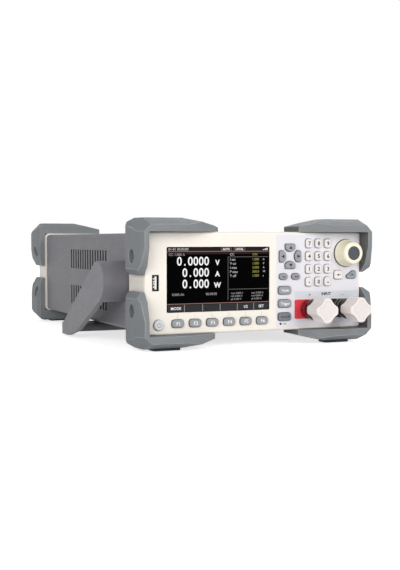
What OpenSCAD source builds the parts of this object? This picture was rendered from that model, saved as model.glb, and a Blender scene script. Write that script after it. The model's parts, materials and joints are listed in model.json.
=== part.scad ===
// Bench dc electronic load, half rack wide and two units high, with corner bumpers and a swinging handle.
// Working frame: X to the right, Y into the depth from the front panel's face, Z up from the panel's middle.
// place() then sets the finished part on the floor, centred in width and depth.

/* [Body] */
// Width of the front bezel and of the rear frame
panel_w = 214.5; // [206:0.5:230]
// Height of the front bezel and of the rear frame
panel_h = 88.2; // [86:0.1:96]
// Depth from the bezel's face to the rear frame's face
body_d = 354.6; // [340:0.2:400]
// Depth of the moulded front bezel
bezel_d = 38; // [34:0.5:44]
// Depth of the moulded rear frame
frame_d = 32; // [28:0.5:40]
// Radius of the bezel's four long corners
corner_r = 4; // [2:0.5:6]
// Radius of the bezel's soft front edge
edge_r = 2.2; // [1:0.1:3]
// Thickness of the bezel's front wall
front_wall = 3; // [2:0.1:4]
// Thickness of the side walls of the bezel and of the rear frame
shell_t = 2.5; // [2:0.1:3]
// How far the bezel and the frame stand proud of the metal case
case_step = 1.2; // [0.6:0.1:2]
// Sheet thickness of the metal case
case_t = 1; // [0.8:0.1:1.5]
// Length of the spigots that enter the metal case
spigot_l = 8; // [4:0.5:12]
// Wall of the spigots
spigot_t = 1.6; // [1.2:0.1:2.5]
// Length of the step between a side wall and its spigot
spigot_step = 2; // [1.5:0.1:4]
// Room between a spigot and the case
spigot_gap = 0.2; // [0.1:0.05:0.4]
// Radius of the hollow's corners
hollow_r = 1.5; // [1:0.1:2]

/* [Vents] */
// Slots in each row of vents
vent_count = 15; // [8:1:15]
// Distance between slots
vent_pitch = 8.2; // [6:0.1:9]
// Width of one slot
vent_w = 3.6; // [2:0.1:4.5]
// Height of one slot
vent_h = 19.6; // [10:0.2:24]
// Depth of the first slot's middle behind the panel
vent_start = 106.5; // [95:0.5:130]
// Height of the upper row's middle
vent_up_z = 17.2; // [14:0.1:22]
// Height of the lower row's middle
vent_low_z = -20; // [-24:0.1:-16]

/* [Display] */
// Width of the display window
screen_w = 98.4; // [80:0.2:100]
// Height of the display window
screen_h = 55.8; // [44:0.2:62.6]
// Place of the window's middle across the panel
screen_x = -37.7; // [-40:0.1:-36]
// Height of the window's middle
screen_z = 2.9; // [0:0.1:5]
// Radius of the window's corners
screen_r = 1; // [0.5:0.1:2]
// How far the display module reaches past the window on each side
lcd_rim = 3.2; // [2:0.1:3.4]
// Thickness of the display module
lcd_t = 4.6; // [3:0.1:6]
// How far the window's pane lies behind the panel's face
pane_set = 0.2; // [0.1:0.05:0.4]

/* [Keys] */
// How far the keys stand in front of the panel
key_h = 2.4; // [1.5:0.1:3]
// Bevel round the front of each key
key_crown = 0.7; // [0.3:0.1:0.9]
// Travel of each key
key_travel = 1; // [0.5:0.1:1.5]
// Room between a key and its hole
key_gap = 0.4; // [0.15:0.05:0.45]
// Lip that keeps each key behind the front wall
key_lip = 0.6; // [0.4:0.05:0.65]
// Thickness of that lip
lip_t = 1.2; // [0.8:0.1:2]
// Room between a lip and the front wall, and between a pressed stem and its switch
lip_gap = 0.3; // [0.2:0.05:0.4]
// Diameter of a key's stem
stem_d = 4; // [3:0.1:4.5]
// Middle of the row of soft keys under the display
soft_x = -36.6; // [-38:0.1:-36]
// Distance between the six soft keys
soft_pitch = 16.2; // [14:0.1:16.4]
// Size of a soft key
soft_size = [11, 6.7]; // [5:0.1:12]
// Corner radius of a soft key
soft_r = 2.4; // [1.2:0.1:3]
// Middle of the four arrow keys
arrow_at = [32.1, 22.2]; // [20:0.1:35]
// Distance of the arrow keys from their middle
arrow_out = 7.7; // [7.6:0.1:8.2]
// Width and depth of an arrow key
arrow_size = [10.3, 6.8]; // [5:0.1:10.4]
// Corner radius of an arrow key's straight side
arrow_r = 1.4; // [1:0.1:2]
// Radius of an arrow key's round side
arrow_bow = 6.2; // [5.6:0.1:8]
// Size of the oval keys under the arrows
oval_size = [8.6, 5.4]; // [4:0.1:9.4]
// Places of the two oval keys across the panel
oval_x = [25.3, 37.9]; // [24:0.1:40]
// Height of the oval keys
oval_z = 4; // [2:0.1:5]
// Size of the three wide keys at the left of the terminals
wide_size = [12.9, 7.1]; // [6:0.1:13.4]
// Corner radius of a wide key
wide_r = 2.2; // [1.2:0.1:3]
// Place of the wide keys across the panel
wide_x = 26.6; // [26.4:0.1:28]
// Height of the highest wide key
wide_z = -8.2; // [-9:0.1:-7]
// Distance between the wide keys
wide_pitch = 11.9; // [10:0.1:12.3]
// Size of a number key
digit_size = [6.7, 8.1]; // [5:0.1:9]
// Corner radius of a number key
digit_r = 2.1; // [1.2:0.1:2.6]
// Place of the first column of number keys
digit_x = 51.3; // [50:0.1:53]
// Height of the highest row of number keys
digit_z = 33.8; // [32:0.1:35]
// Distance between the number keys across and down
digit_pitch = [9.85, 11.6]; // [9:0.05:12]
// Size of the erase key
erase_size = [9.1, 8]; // [6:0.1:10]
// Corner radius of the erase and confirm keys
erase_r = 2; // [1.2:0.1:2.6]
// Middle of the erase key
erase_at = [82.6, 4.9]; // [3:0.1:84]
// Size of the confirm key
confirm_size = [10.4, 7.1]; // [6:0.1:12]
// Middle of the confirm key
confirm_at = [96.6, 4.9]; // [3:0.1:98]
// Slant of the confirm key's cut corner
confirm_slant = 34; // [20:1:45]
// Distance of that cut from the key's middle
confirm_cut = 2.2; // [1.6:0.1:3]
// Diameter of the round power button
power_d = 9.1; // [7:0.1:10]
// Middle of the power button
power_at = [-94.6, -35.3]; // [-96:0.1:-34]
// Left edge of the printed film
film_left = 18.4; // [17:0.1:18.8]
// Distance of the film from the panel's right edge
film_side = 2.4; // [1:0.1:3]
// Thickness of the printed film
film_t = 0.25; // [0.1:0.05:0.3]

/* [Encoder knob] */
// Diameter of the knob at the panel
dial_d = 24.6; // [18:0.1:26]
// Diameter of the knob's face
dial_face_d = 20.6; // [18:0.1:22]
// Length of the knob
dial_l = 13.2; // [10:0.1:18]
// Middle of the knob on the panel
dial_at = [91, 24.9]; // [20:0.1:95]
// Room between the knob and the film
dial_gap = 0.9; // [0.4:0.1:1.5]
// Height of the knob's straight foot
dial_foot = 1.6; // [0.5:0.1:3]
// Step between the knob's foot and its tapered side
dial_step = 0.5; // [0.2:0.1:0.8]
// Radius of the knob's nose
nose_r = 2.4; // [1.5:0.1:3]
// Wall of the knob
dial_wall = 1.6; // [1.2:0.1:2.5]
// Diameter of the dark inset in the knob's face
inset_d = 12.8; // [8:0.1:14]
// Depth of the inset's seat
inset_seat = 0.8; // [0.5:0.1:1.2]
// Thickness of the inset
inset_t = 0.6; // [0.4:0.1:1]
// Diameter of the encoder's shaft
shaft_d = 6; // [4:0.1:6.5]
// Radial room of the shaft in its bush
shaft_fit = 0.04; // [0.02:0.01:0.1]
// Diameter of the encoder's bush
bush_d = 9; // [8.5:0.1:10]
// Width of the encoder's square body
encoder_w = 12; // [10:0.5:13]
// Thickness of the encoder's body
encoder_t = 6.5; // [5:0.1:7]

/* [Terminals] */
// Size of one terminal's base plate
base_size = [31, 17.2]; // [16:0.2:32]
// Thickness of the base plate
base_t = 1.5; // [1:0.1:2]
// Middle of the two terminals across the panel
term_x = [53, 88]; // [45:0.2:90]
// Height of the terminals' axes
term_z = -25.7; // [-26.5:0.1:-25]
// Diameter of the base's round boss, cut level with the plate above and below
boss_d = 21; // [16:0.2:22]
// How far the round boss stands in front of the panel
boss_l = 5; // [3:0.2:6]
// Diameter of the smaller step on the boss
boss_top_d = 16.8; // [15:0.2:17.2]
// Height of that step
boss_step = 1.6; // [0.6:0.1:2]
// Diameter of the base's neck through the panel
neck_d = 15.6; // [12:0.2:16]
// Length of that neck behind the panel's wall
neck_l = 5; // [3:0.5:8]
// Diameter of the metal clamping collar
collar_d = 14; // [11:0.2:16]
// Length of the clamping collar
collar_l = 8.3; // [5:0.1:9]
// Diameter of the threaded stud
stud_d = 8; // [6:0.2:9]
// Distance across the flats' corners of the stud's nut
nut_d = 14.4; // [12:0.2:15]
// Thickness of the nut
nut_t = 6; // [4:0.2:8]
// Length of the stud past the nut
stud_tail = 7; // [4:0.5:10]
// Distance across the lobes of a terminal knob
lobe_d = 22.4; // [18:0.2:23]
// Length of a terminal knob
lobe_l = 18.4; // [10:0.1:19]
// Bevel round a terminal knob's face
lobe_bevel = 1; // [0.4:0.1:1.6]
// Width of the rim round the sunk face of a terminal knob
lobe_rim = 2.3; // [1.8:0.1:4]
// How far that face is sunk
lobe_sink = 0.8; // [0.2:0.05:1]
// Distance of a hollow flank's middle from a terminal knob's axis, for each unit across the lobes
flank_at = 1.04; // [1.02:0.01:1.08]
// Radius of a hollow flank, for each unit across the lobes
flank_r = 0.65; // [0.62:0.01:0.67]
// Room between knob and collar, and round the stud
term_gap = 0.3; // [0.2:0.05:0.5]

/* [Sockets] */
// Outside of the front data socket
usb_size = [6, 13.6]; // [6:0.1:15]
// Middle of the front data socket
usb_at = [-97.2, 0.5]; // [-98:0.1:2]
// Sheet of the data socket's shell
usb_t = 0.4; // [0.3:0.05:0.5]
// How far the shell lies behind the panel's face
usb_set = 0.6; // [0.3:0.1:1]
// Width of the socket's contact tongue
tongue_t = 1.8; // [1.4:0.1:2]
// Height of the contact tongue
tongue_h = 11.2; // [10:0.1:12]
// Distance of the tongue from the socket's middle
tongue_x = 1; // [0.6:0.1:1.1]
// Recess of the mains inlet
inlet_size = [24, 16.5]; // [15:0.1:26]
// Middle of the mains inlet on the rear panel
inlet_at = [62, 14]; // [10:0.5:68]
// Depth of the mains inlet's recess
inlet_d = 14.5; // [12:0.5:16]
// Wall of the mains inlet
inlet_t = 1.6; // [1.2:0.1:2]
// Flange of the mains inlet
flange_t = 2.4; // [1.5:0.1:3]
// Distance between the inlet's outer blades
blade_pitch = 14; // [12:0.2:15]
// Section of one blade
blade_size = [2, 4]; // [1.5:0.1:5]
// Middle of the serial socket on the rear panel
serial_at = [80, -24]; // [-26:0.5:82]
// Size of the serial socket
serial_size = [18, 10]; // [8:0.5:20]
// Middle of the sense socket on the rear panel
sense_at = [48, -24]; // [-26:0.5:50]
// Size of the sense socket
sense_size = [25, 9]; // [8:0.5:26]
// Depth of the rear sockets behind the rear panel
socket_d = 12; // [10:0.5:16]
// Room round a socket in its opening
socket_gap = 0.5; // [0.2:0.05:0.8]

/* [Bumpers] */
// How far the bumpers reach in front of the bezel
lip_out = 13; // [8:0.2:16]
// Depth of the bumpers behind the bezel's face
bumper_d = 28; // [25:0.2:30]
// How far the ridge of a bumper stands above the bezel
ridge_out = 11.9; // [9:0.1:14]
// How far the side of a bumper stands outside the bezel
side_out = 8.75; // [7:0.05:9.5]
// Height of a bumper's front lip above the bezel
lip_up = 6.2; // [5:0.1:8]
// Width of a bumper's front lip beside the bezel
lip_side = 4.25; // [3.5:0.05:5]
// Distance of an upper arm's tip from the middle
arm_tip = 41.5; // [30:0.5:52]
// Length over which an upper arm tapers to its tip
arm_taper = 30; // [20:0.5:34]
// Height of an upper arm's blunt tip
tip_h = 5; // [3:0.1:7]
// Depth at which a bumper's front slope meets its ridge
slope_y = 4; // [2:0.1:8]
// How far the flat side starts in front of the bezel's face
side_y = 2; // [0.5:0.1:4]
// Width and depth of the bevel behind a bumper's side
back_cut = [3, 5]; // [2:0.1:6]
// Width and height of the cut at the end of a bumper's ridge
ridge_cut = [8, 5.5]; // [4:0.1:10]
// How much of the corner is cut at the front lip
lip_cut = 6; // [4:0.1:8]
// How much of the corner is cut where the ridge begins
corner_cut = 9; // [7:0.1:11]
// How much less of the corner is cut at the back
corner_flare = 3; // [1:0.1:4]
// Distance of a side arm's tip from the middle
flap_tip = 7; // [5:0.1:10]
// Height of the bevel at a side arm's tip
flap_bevel = 5.5; // [3:0.1:8]
// Height of that bevel on the rear bumpers
rear_bevel = 19; // [6:0.5:22]
// Thickness of a side arm at its tip
flap_t = 3.4; // [3.2:0.1:5]
// Setback and height over the tip of the bend in a side arm's lip
flap_bend = [5, 8]; // [3:0.1:10]
// Height over the tip at which a side arm's lip reaches its full depth
flap_rise = 23.7; // [16:0.1:26]
// Diameter of the sunk hole for a bumper's screw
sink_d = 12; // [8.5:0.1:12.4]
// Thickness of the bumper under a screw's head
sink_floor = 3; // [2:0.1:3.2]
// Depth of the bumper screws behind the bezel's face
screw_y = 8.6; // [7:0.1:14]
// Distance of the rear bumpers' screws from the rear frame's face
rear_screw_y = 16; // [8:0.1:16.5]
// Height of the bumper screws from the middle
screw_z = 23.3; // [20:0.1:28]
// Diameter of a bumper screw's shank
screw_d = 4; // [3:0.1:5]
// Radial room of a bumper screw in its holes
screw_gap = 0.1; // [0.05:0.05:0.3]
// Diameter of a bumper screw's head
head_d = 7.4; // [6.5:0.1:8]
// Thickness of a bumper screw's head
head_t = 2.6; // [2:0.1:3]
// Length of a bumper screw inside the bezel
screw_l = 5; // [3:0.1:5.5]
// Distance across the corners of the screw's hexagon socket
hex_d = 3.4; // [2.5:0.1:4]
// Thickness of the rubber feet
foot_t = 2; // [1.5:0.1:4]
// Size of a rubber foot
foot_size = [26, 14]; // [10:0.5:28]
// Corner radius of a rubber foot
foot_r = 3; // [1:0.5:5]
// Distance of the feet from the middle
foot_x = 85; // [84.5:0.5:90]
// Depth of the feet behind the bezel's face, and in front of the rear frame's
foot_y = 10.5; // [10:0.5:16]

/* [Handle] */
// Depth of the handle's axis behind the panel
hub_y = 59; // [57:0.2:62]
// Radius of the handle's hubs
hub_r = 18.25; // [12:0.25:19]
// Outside width of the handle
handle_w = 260; // [256:0.5:290]
// Thickness of the handle's arms
arm_t = 4.5; // [3.5:0.1:6]
// Slope of an arm's upper edge
arm_up_slope = 30; // [25:1:34]
// Slope of an arm's lower edge
arm_low_slope = 25; // [20:1:30]
// Depth of the grip's front edge behind the panel
grip_y = 147; // [146.5:0.5:160]
// Width of the grip
grip_w = 31; // [24:0.5:40]
// Thickness of the grip
grip_t = 8.3; // [7:0.1:9]
// Corner radius of the grip
grip_r = 4; // [2:0.1:4]
// Room between the case's underside and the stowed grip
grip_gap = 2; // [1.5:0.1:2.5]
// How far the arms' ends reach under the grip
toe_out = 3.2; // [0:0.1:3.2]
// Distance of the bend in an arm's lower edge in front of the grip
elbow_in = 24.8; // [20:0.2:28]
// Width of an arm's end
toe_w = 20; // [14:0.5:24]
// Radius of an arm's end
toe_r = 4.5; // [2:0.1:5]
// Radius of the handle's two corners
handle_r = 5; // [2:0.5:16]
// Diameter of the pivot posts
pivot_d = 12; // [8:0.5:16]
// Radial room of the posts in the hubs
pivot_fit = 0.05; // [0.02:0.01:0.1]
// Radial room of the posts in the case
pivot_gap = 0.3; // [0.1:0.05:0.5]
// Flange of a pivot post
pivot_flange = 4; // [2:0.5:6]
// How far a post ends before its hub's outer face
pivot_end = 1; // [0.5:0.1:2]
// Room between a hub and the case
hub_gap = 0.3; // [0.2:0.05:0.6]

/* [Inside] */
// Thickness of the circuit boards
board_t = 1.6; // [1:0.1:2.4]
// Depth of the front board's face behind the panel
board_y = 16; // [15:0.5:20]
// Room round the front board
board_room = 2; // [1:0.1:4]
// Height of the switches on the front board
switch_h = 6; // [4:0.1:6.5]
// Width of a switch
switch_w = 6; // [4:0.1:6.5]
// Diameter of the pillars that carry the front board
pillar_d = 5; // [4:0.1:6]
// Distance of these pillars from the panel's sides, and from its top and bottom
pillar_in = [9, 7]; // [6:0.1:10]
// Sheet thickness of the chassis tray
tray_t = 1.2; // [0.8:0.1:2]
// Height of the tray's low side walls
tray_wall = 10; // [6:0.5:11]
// Room at the sides of the tray
tray_side = 0.6; // [0.3:0.1:1]
// Room at the ends of the tray
tray_gap = 0.3; // [0.2:0.1:1]
// Metal left round a pivot post in the tray's ears
ear_rim = 6; // [4:0.5:8]
// Thickness of the rear panel
rear_t = 1.6; // [1:0.1:2.5]
// Rim of the rear frame behind the rear panel
rear_rim = 4; // [3:0.1:6]
// How far that rim reaches over the rear panel
rear_lap = 4; // [3:0.1:6]
// Room round the rear panel
rear_gap = 0.2; // [0.1:0.05:0.4]
// Side of the square fan
fan_w = 60; // [50:1:64]
// Depth of the fan
fan_d = 25; // [20:0.5:28]
// Place of the fan's axis across the rear panel
fan_x = -40; // [-45:1:-35]
// Wall of the fan's housing at its thinnest
fan_wall = 1.5; // [1:0.1:3]
// Distance of the fan's screw holes from its sides
fan_hole_in = 5; // [4:0.1:6]
// Diameter of the fan's screw holes
fan_hole_d = 4; // [3:0.1:4.5]
// Thickness of the fan's spokes
spoke_t = 3; // [2:0.1:4]
// Diameter of the fan's motor
motor_d = 24; // [20:0.5:26]
// Diameter of the pin that carries the rotor
pin_d = 4; // [3:0.1:5]
// Radial room of the rotor on its pin
rotor_fit = 0.05; // [0.03:0.01:0.1]
// Room round the rotor in its housing
rotor_gap = 1; // [0.6:0.1:2]
// Blades of the fan
blade_count = 7; // [5:1:9]
// Pitch of the fan's blades
blade_slant = 38; // [25:1:45]
// Thickness of a blade
blade_t = 1.8; // [1.2:0.1:2.4]
// Distance between the slots of the fan's grille
grille_pitch = 7; // [6:0.5:9]
// Width of one slot of the grille
grille_w = 4.2; // [3:0.1:5]
// Width, height and length of the heat sink
sink_size = [108, 56, 130]; // [40:1:150]
// Thickness of the heat sink's floor
sink_base = 8; // [5:0.5:12]
// Distance between the heat sink's fins
fin_pitch = 9; // [7:0.5:14]
// Thickness of a fin
fin_t = 2.5; // [1.5:0.1:3.5]
// Distance from the heat sink to the rear frame's spigot
sink_room = 20; // [10:1:30]
// Distance of the heat sink's middle from the fan's axis
sink_shift = 4; // [0:0.5:6]
// Height of the main board over the tray
board_lift = 6; // [4:0.5:8]
// Width of the main board
main_w = 79; // [70:0.5:80]
// Distance of the main board from the spigots' inside
main_side = 5.25; // [3:0.05:8]
// Depth of the main board's front edge behind the panel
main_y = 70; // [66:1:80]
// Width, depth and height of the transformer
transformer_size = [46, 40, 41]; // [30:1:50]
// Diameter and height of one of the three capacitors
capacitor_size = [16, 27]; // [10:0.5:30]
// Width, depth and height of one of the four power transistors
transistor_size = [5, 16, 23]; // [4:0.5:26]
// Depth of the first power transistor behind the panel
transistor_y = 195; // [180:1:205]
// Distance between the power transistors
transistor_pitch = 24; // [18:0.5:30]

/* [Hidden] */
$fn = 48;
// Reach of cutting shapes past the surface that they cut
over = 1;
half_w = panel_w / 2;
half_h = panel_h / 2;
case_w = panel_w - 2 * case_step;
case_h = panel_h - 2 * case_step;
inner_w = case_w - 2 * case_t;
inner_h = case_h - 2 * case_t;
spigot_w = inner_w - 2 * spigot_gap;
spigot_h = inner_h - 2 * spigot_gap;
cavity_w = spigot_w - 2 * spigot_t;
cavity_h = spigot_h - 2 * spigot_t;
case_r = corner_r - case_step / 2;
knob_back = boss_l + collar_l + term_gap;
front_reach = knob_back + lobe_l;
rear_reach = body_d + lip_out;
mid_y = (rear_reach - front_reach) / 2;
floor_h = half_h + ridge_out + foot_t;
rear_y = body_d - rear_rim - rear_t;
tray_w = inner_w - 2 * tray_side;
tray_z = -inner_h / 2;
tray_top = tray_z + tray_t;
hub_x = case_w / 2 + hub_gap;
arm_in = handle_w / 2 - arm_t;
grip_top = -case_h / 2 - grip_gap;
grip_low = grip_top - grip_t;
grip_back = grip_y + grip_w;
toe_low = grip_low - toe_out;
ridge_at = half_h + ridge_out;
side_at = half_w + side_out;
soft_z = (screen_z - screen_h / 2 - half_h) / 2;
key_back = front_wall + lip_gap;
stem_end = board_y - switch_h - key_travel - lip_gap;
dial_back = film_t + dial_gap;
encoder_y = board_y - encoder_t;
shaft_end = dial_l - dial_wall;
main_z = tray_top + board_lift;
main_x = cavity_w / 2 - main_side - main_w;
digits = ["7", "8", "9", "4", "5", "6", "1", "2", "3", "point", "0", "minus"];
wide_names = ["mode", "trigger", "on_off"];
arrow_names = ["up", "left", "down", "right"];

// One row for each key: node name, shape, place across, height, colour and turn
function key_row(name, kind, x, z, tint, turn = 0) = [str("key_", name), kind, x, z, tint, turn];

KEYS = concat(
    [for (i = [0:5]) key_row(str("f", i + 1), "soft", soft_x + (i - 2.5) * soft_pitch, soft_z, "gray")],
    [for (i = [0:3]) key_row(arrow_names[i], "arrow", arrow_at[0] - arrow_out * sin(90 * i),
        arrow_at[1] + arrow_out * cos(90 * i), "gray", 90 * i)],
    [key_row("escape", "oval", oval_x[0], oval_z, "gray")],
    [key_row("shift", "oval", oval_x[1], oval_z, "gray")],
    [for (i = [0:2]) key_row(wide_names[i], "wide", wide_x, wide_z - i * wide_pitch,
        i == 2 ? "slategray" : "gray")],
    [for (i = [0:11]) key_row(digits[i], "digit", digit_x + (i % 3) * digit_pitch[0],
        digit_z - floor(i / 3) * digit_pitch[1], "linen")],
    [key_row("erase", "erase", erase_at[0], erase_at[1], "linen")],
    [key_row("confirm", "confirm", confirm_at[0], confirm_at[1], "lightslategray")],
    [["power_button", "round", power_at[0], power_at[1], "gainsboro", 0]]
);

// Set the finished part on the floor, centred
module place() {
    translate([0, -mid_y, floor_h]) children();
}

// Extrude a shape drawn as seen from the front, from depth y0 to y1
module along_y(y0, y1) {
    translate([0, y1, 0]) rotate([90, 0, 0]) linear_extrude(y1 - y0) children();
}

// Extrude a shape drawn as seen from the right, in depth and height
module along_x(x0, x1) {
    translate([x0, 0, 0]) rotate([90, 0, 90]) linear_extrude(x1 - x0) children();
}

// Extrude a shape drawn as seen from above
module along_z(z0, z1) {
    translate([0, 0, z0]) linear_extrude(z1 - z0) children();
}

// Round rod along the depth
module rod_y(at, d, y0, y1) {
    translate([at[0], y1, at[1]]) rotate([90, 0, 0]) cylinder(d = d, h = y1 - y0);
}

// Round rod across the width
module rod_x(y, z, d, x0, x1) {
    translate([x0, y, z]) rotate([0, 90, 0]) cylinder(d = d, h = x1 - x0);
}

module both_sides() {
    children();
    mirror([1, 0, 0]) children();
}

module top_and_bottom() {
    children();
    mirror([0, 0, 1]) children();
}

// The rear end is the front end turned to face the other way
module rear_end() {
    translate([0, body_d, 0]) mirror([0, 1, 0]) children();
}

module rounded_rect(w, h, r) {
    square([w - 2 * r, h], center = true);
    square([w, h - 2 * r], center = true);
    for (x = [-1, 1], z = [-1, 1]) translate([x * (w / 2 - r), z * (h / 2 - r)]) circle(r);
}

// Rectangle with two round corners on its near side
module soft_front(w, depth) {
    translate([-w / 2, edge_r]) square([w, depth - edge_r]);
    translate([edge_r - w / 2, 0]) square([w - 2 * edge_r, depth]);
    for (x = [-1, 1]) translate([x * (w / 2 - edge_r), edge_r]) circle(edge_r);
}

// Moulded end of the body: soft front edge, hollow, with a spigot that enters the case
module end_shell(depth, wall, hole_y) {
    difference() {
        union() {
            intersection() {
                along_y(0, depth) rounded_rect(panel_w, panel_h, corner_r);
                along_z(-half_h, half_h) soft_front(panel_w, depth);
                along_x(-half_w, half_w) mirror([1, -1, 0]) soft_front(panel_h, depth);
            }
            along_y(depth - spigot_step, depth + spigot_l) rounded_rect(spigot_w, spigot_h, case_r - case_t);
        }
        along_y(wall, depth - spigot_step)
            rounded_rect(panel_w - 2 * shell_t, panel_h - 2 * shell_t, hollow_r);
        along_y(wall, depth + spigot_l + over) rounded_rect(cavity_w, cavity_h, hollow_r);
        both_sides() top_and_bottom()
            rod_x(hole_y, screw_z, screw_d + 2 * screw_gap, half_w - shell_t - over, half_w + over);
    }
}

// Outline of an oval key: a bar with round ends
module oval_outline(grow) {
    span = oval_size[0] - oval_size[1];
    width = oval_size[1] + 2 * grow;
    square([span, width], center = true);
    for (x = [-1, 1]) translate([x * span / 2, 0]) circle(d = width);
}

// Outline of an arrow key: straight side outwards, round side to the middle of the four
module arrow_outline(grow) {
    intersection() {
        rounded_rect(arrow_size[0] + 2 * grow, arrow_size[1] + 2 * grow, arrow_r + grow);
        translate([0, arrow_bow - arrow_size[1] / 2]) circle(arrow_bow + grow);
    }
}

// Outline of the confirm key: a rounded rectangle with one corner cut off at a slant
module confirm_outline(grow) {
    reach = confirm_size[0];
    intersection() {
        rounded_rect(confirm_size[0] + 2 * grow, confirm_size[1] + 2 * grow, erase_r + grow);
        rotate(confirm_slant) translate([-reach, confirm_cut + grow - 2 * reach]) square(2 * reach);
    }
}

// Outline of a key, grown by a margin
module key_outline(kind, grow) {
    g = 2 * grow;
    if (kind == "soft") rounded_rect(soft_size[0] + g, soft_size[1] + g, soft_r + grow);
    if (kind == "wide") rounded_rect(wide_size[0] + g, wide_size[1] + g, wide_r + grow);
    if (kind == "digit") rounded_rect(digit_size[0] + g, digit_size[1] + g, digit_r + grow);
    if (kind == "erase") rounded_rect(erase_size[0] + g, erase_size[1] + g, erase_r + grow);
    if (kind == "round") circle(d = power_d + g);
    if (kind == "oval") oval_outline(grow);
    if (kind == "arrow") arrow_outline(grow);
    if (kind == "confirm") confirm_outline(grow);
}

// Every key's outline, for the holes in front of the keys
module key_outlines(grow) {
    for (k = KEYS) translate([k[2], k[3]]) rotate(k[5]) key_outline(k[1], grow);
}

// Moulded key: bevelled cap, lip behind the front wall, and a stem over its switch
module key(k) {
    color(k[4]) place() translate([k[2], 0, k[3]]) {
        hull($fn = 32) {
            along_y(key_crown - key_h, 0) rotate(k[5]) key_outline(k[1], 0);
            along_y(-key_h, 0) rotate(k[5]) key_outline(k[1], -key_crown);
        }
        along_y(-key_crown, key_back + lip_t) rotate(k[5]) key_outline(k[1], 0);
        along_y(key_back, key_back + lip_t) rotate(k[5]) key_outline(k[1], key_lip);
        rod_y([0, 0], stem_d, key_back + lip_t / 2, stem_end);
    }
}

module screen_outline(grow) {
    translate([screen_x, screen_z])
        rounded_rect(screen_w + 2 * grow, screen_h + 2 * grow, screen_r + grow);
}

module front_bezel() {
    x = half_w - pillar_in[0];
    z = half_h - pillar_in[1];
    pillars = [[-x, z], [x, z], [-x, -z / 2], [x, -z]];
    color("antiquewhite") place() {
        difference() {
            end_shell(bezel_d, front_wall, screw_y);
            along_y(-over, front_wall + over) {
                key_outlines(key_gap);
                screen_outline(pane_set);
                translate(usb_at) rounded_rect(usb_size[0] + 2 * pane_set, usb_size[1] + 2 * pane_set, usb_t);
            }
            rod_y(dial_at, bush_d + 2 * pane_set, -over, front_wall + over);
            for (tx = term_x) rod_y([tx, term_z], neck_d + 2 * pane_set, -over, front_wall + over);
        }
        for (p = pillars) rod_y(p, pillar_d, front_wall / 2, board_y);
    }
}

// Printed film round the keys
module keypad_overlay() {
    right = half_w - film_side;
    color("lavender") place() difference() {
        along_y(-film_t, 0) translate([(film_left + right) / 2, 0])
            rounded_rect(right - film_left, panel_h - 2 * edge_r, hollow_r);
        along_y(-over, over) {
            key_outlines(key_gap);
            for (x = term_x) translate([x, term_z])
                rounded_rect(base_size[0] + 2 * pane_set, base_size[1] + 2 * pane_set, screen_r);
        }
        rod_y(dial_at, bush_d + 2 * pane_set, -over, over);
    }
}

module display_lens() {
    color("black") place() along_y(pane_set, front_wall) screen_outline(0);
}

// Display module with a hollow back
module lcd_module() {
    back = front_wall + lcd_t;
    color("dimgray") place() difference() {
        along_y(front_wall, back) screen_outline(lcd_rim);
        along_y(back - over, back + over) translate([screen_x, screen_z])
            square([screen_w - lcd_rim, screen_h - lcd_rim], center = true);
    }
}

// Circuit board behind the keys, with one switch for each of them and a gap for the terminals' nuts
module front_board() {
    gap_w = term_x[1] - term_x[0] + neck_d + 2 * neck_l;
    color("darkgreen") place() difference() {
        union() {
            along_y(board_y, board_y + board_t)
                rounded_rect(cavity_w - 2 * board_room, cavity_h - 2 * board_room, hollow_r);
            for (k = KEYS) along_y(board_y - switch_h, board_y + board_t / 2) translate([k[2], k[3]])
                square(switch_w, center = true);
        }
        along_y(board_y - over, board_y + board_t + over)
            translate([(term_x[0] + term_x[1]) / 2, term_z])
                rounded_rect(gap_w, neck_d + neck_l, hollow_r);
    }
}

// Upright data socket with its contact tongue
module usb_port() {
    back = board_y - tongue_t;
    color("silver") place() translate([usb_at[0], 0, usb_at[1]]) {
        difference() {
            along_y(usb_set, board_y) rounded_rect(usb_size[0], usb_size[1], usb_t);
            along_y(-over, back) square([usb_size[0] - 2 * usb_t, usb_size[1] - 2 * usb_t], center = true);
        }
        along_y(usb_set + tongue_t, board_y - usb_t) translate([tongue_x, 0])
            square([tongue_t, tongue_h], center = true);
    }
}

// Encoder body soldered to the front board, with the bush that carries the shaft
module rotary_encoder() {
    color("dimgray") place() difference() {
        union() {
            along_y(encoder_y, board_y) translate(dial_at) square(encoder_w, center = true);
            rod_y(dial_at, bush_d, pane_set, encoder_y + over);
        }
        rod_y(dial_at, shaft_d + 2 * shaft_fit, -over, encoder_y);
    }
}

module encoder_shaft() {
    color("silver") place() rod_y(dial_at, shaft_d, -shaft_end, encoder_y - lip_gap);
}

// Turned knob: stepped foot, tapered side, round nose, shallow seat for the inset and a bore for the shaft
module encoder_knob() {
    face_r = dial_face_d / 2;
    foot_r = dial_d / 2;
    side_l = dial_l - nose_r;
    color("wheat") place() translate([dial_at[0], -dial_back, dial_at[1]]) rotate([90, 0, 0]) difference() {
        rotate_extrude() {
            polygon([
                [0, 0], [foot_r, 0], [foot_r, dial_foot], [foot_r - dial_step, dial_foot],
                [face_r, side_l], [0, side_l]]);
            square([face_r - nose_r, dial_l]);
            translate([face_r - nose_r, side_l]) intersection() {
                circle(nose_r);
                square(nose_r);
            }
        }
        translate([0, 0, -over]) cylinder(d = shaft_d, h = shaft_end - dial_back + over);
        translate([0, 0, dial_l - inset_seat]) cylinder(d = inset_d, h = inset_seat + over);
        difference() {
            translate([0, 0, -over]) cylinder(d = dial_face_d - 2 * dial_wall, h = side_l - dial_wall + over);
            cylinder(d = shaft_d + 2 * dial_wall, h = dial_l);
        }
    }
}

module knob_inset() {
    seat_y = inset_seat - dial_back - dial_l;
    color("darkslategray") place() rod_y(dial_at, inset_d, seat_y - inset_t, seat_y);
}

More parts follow.
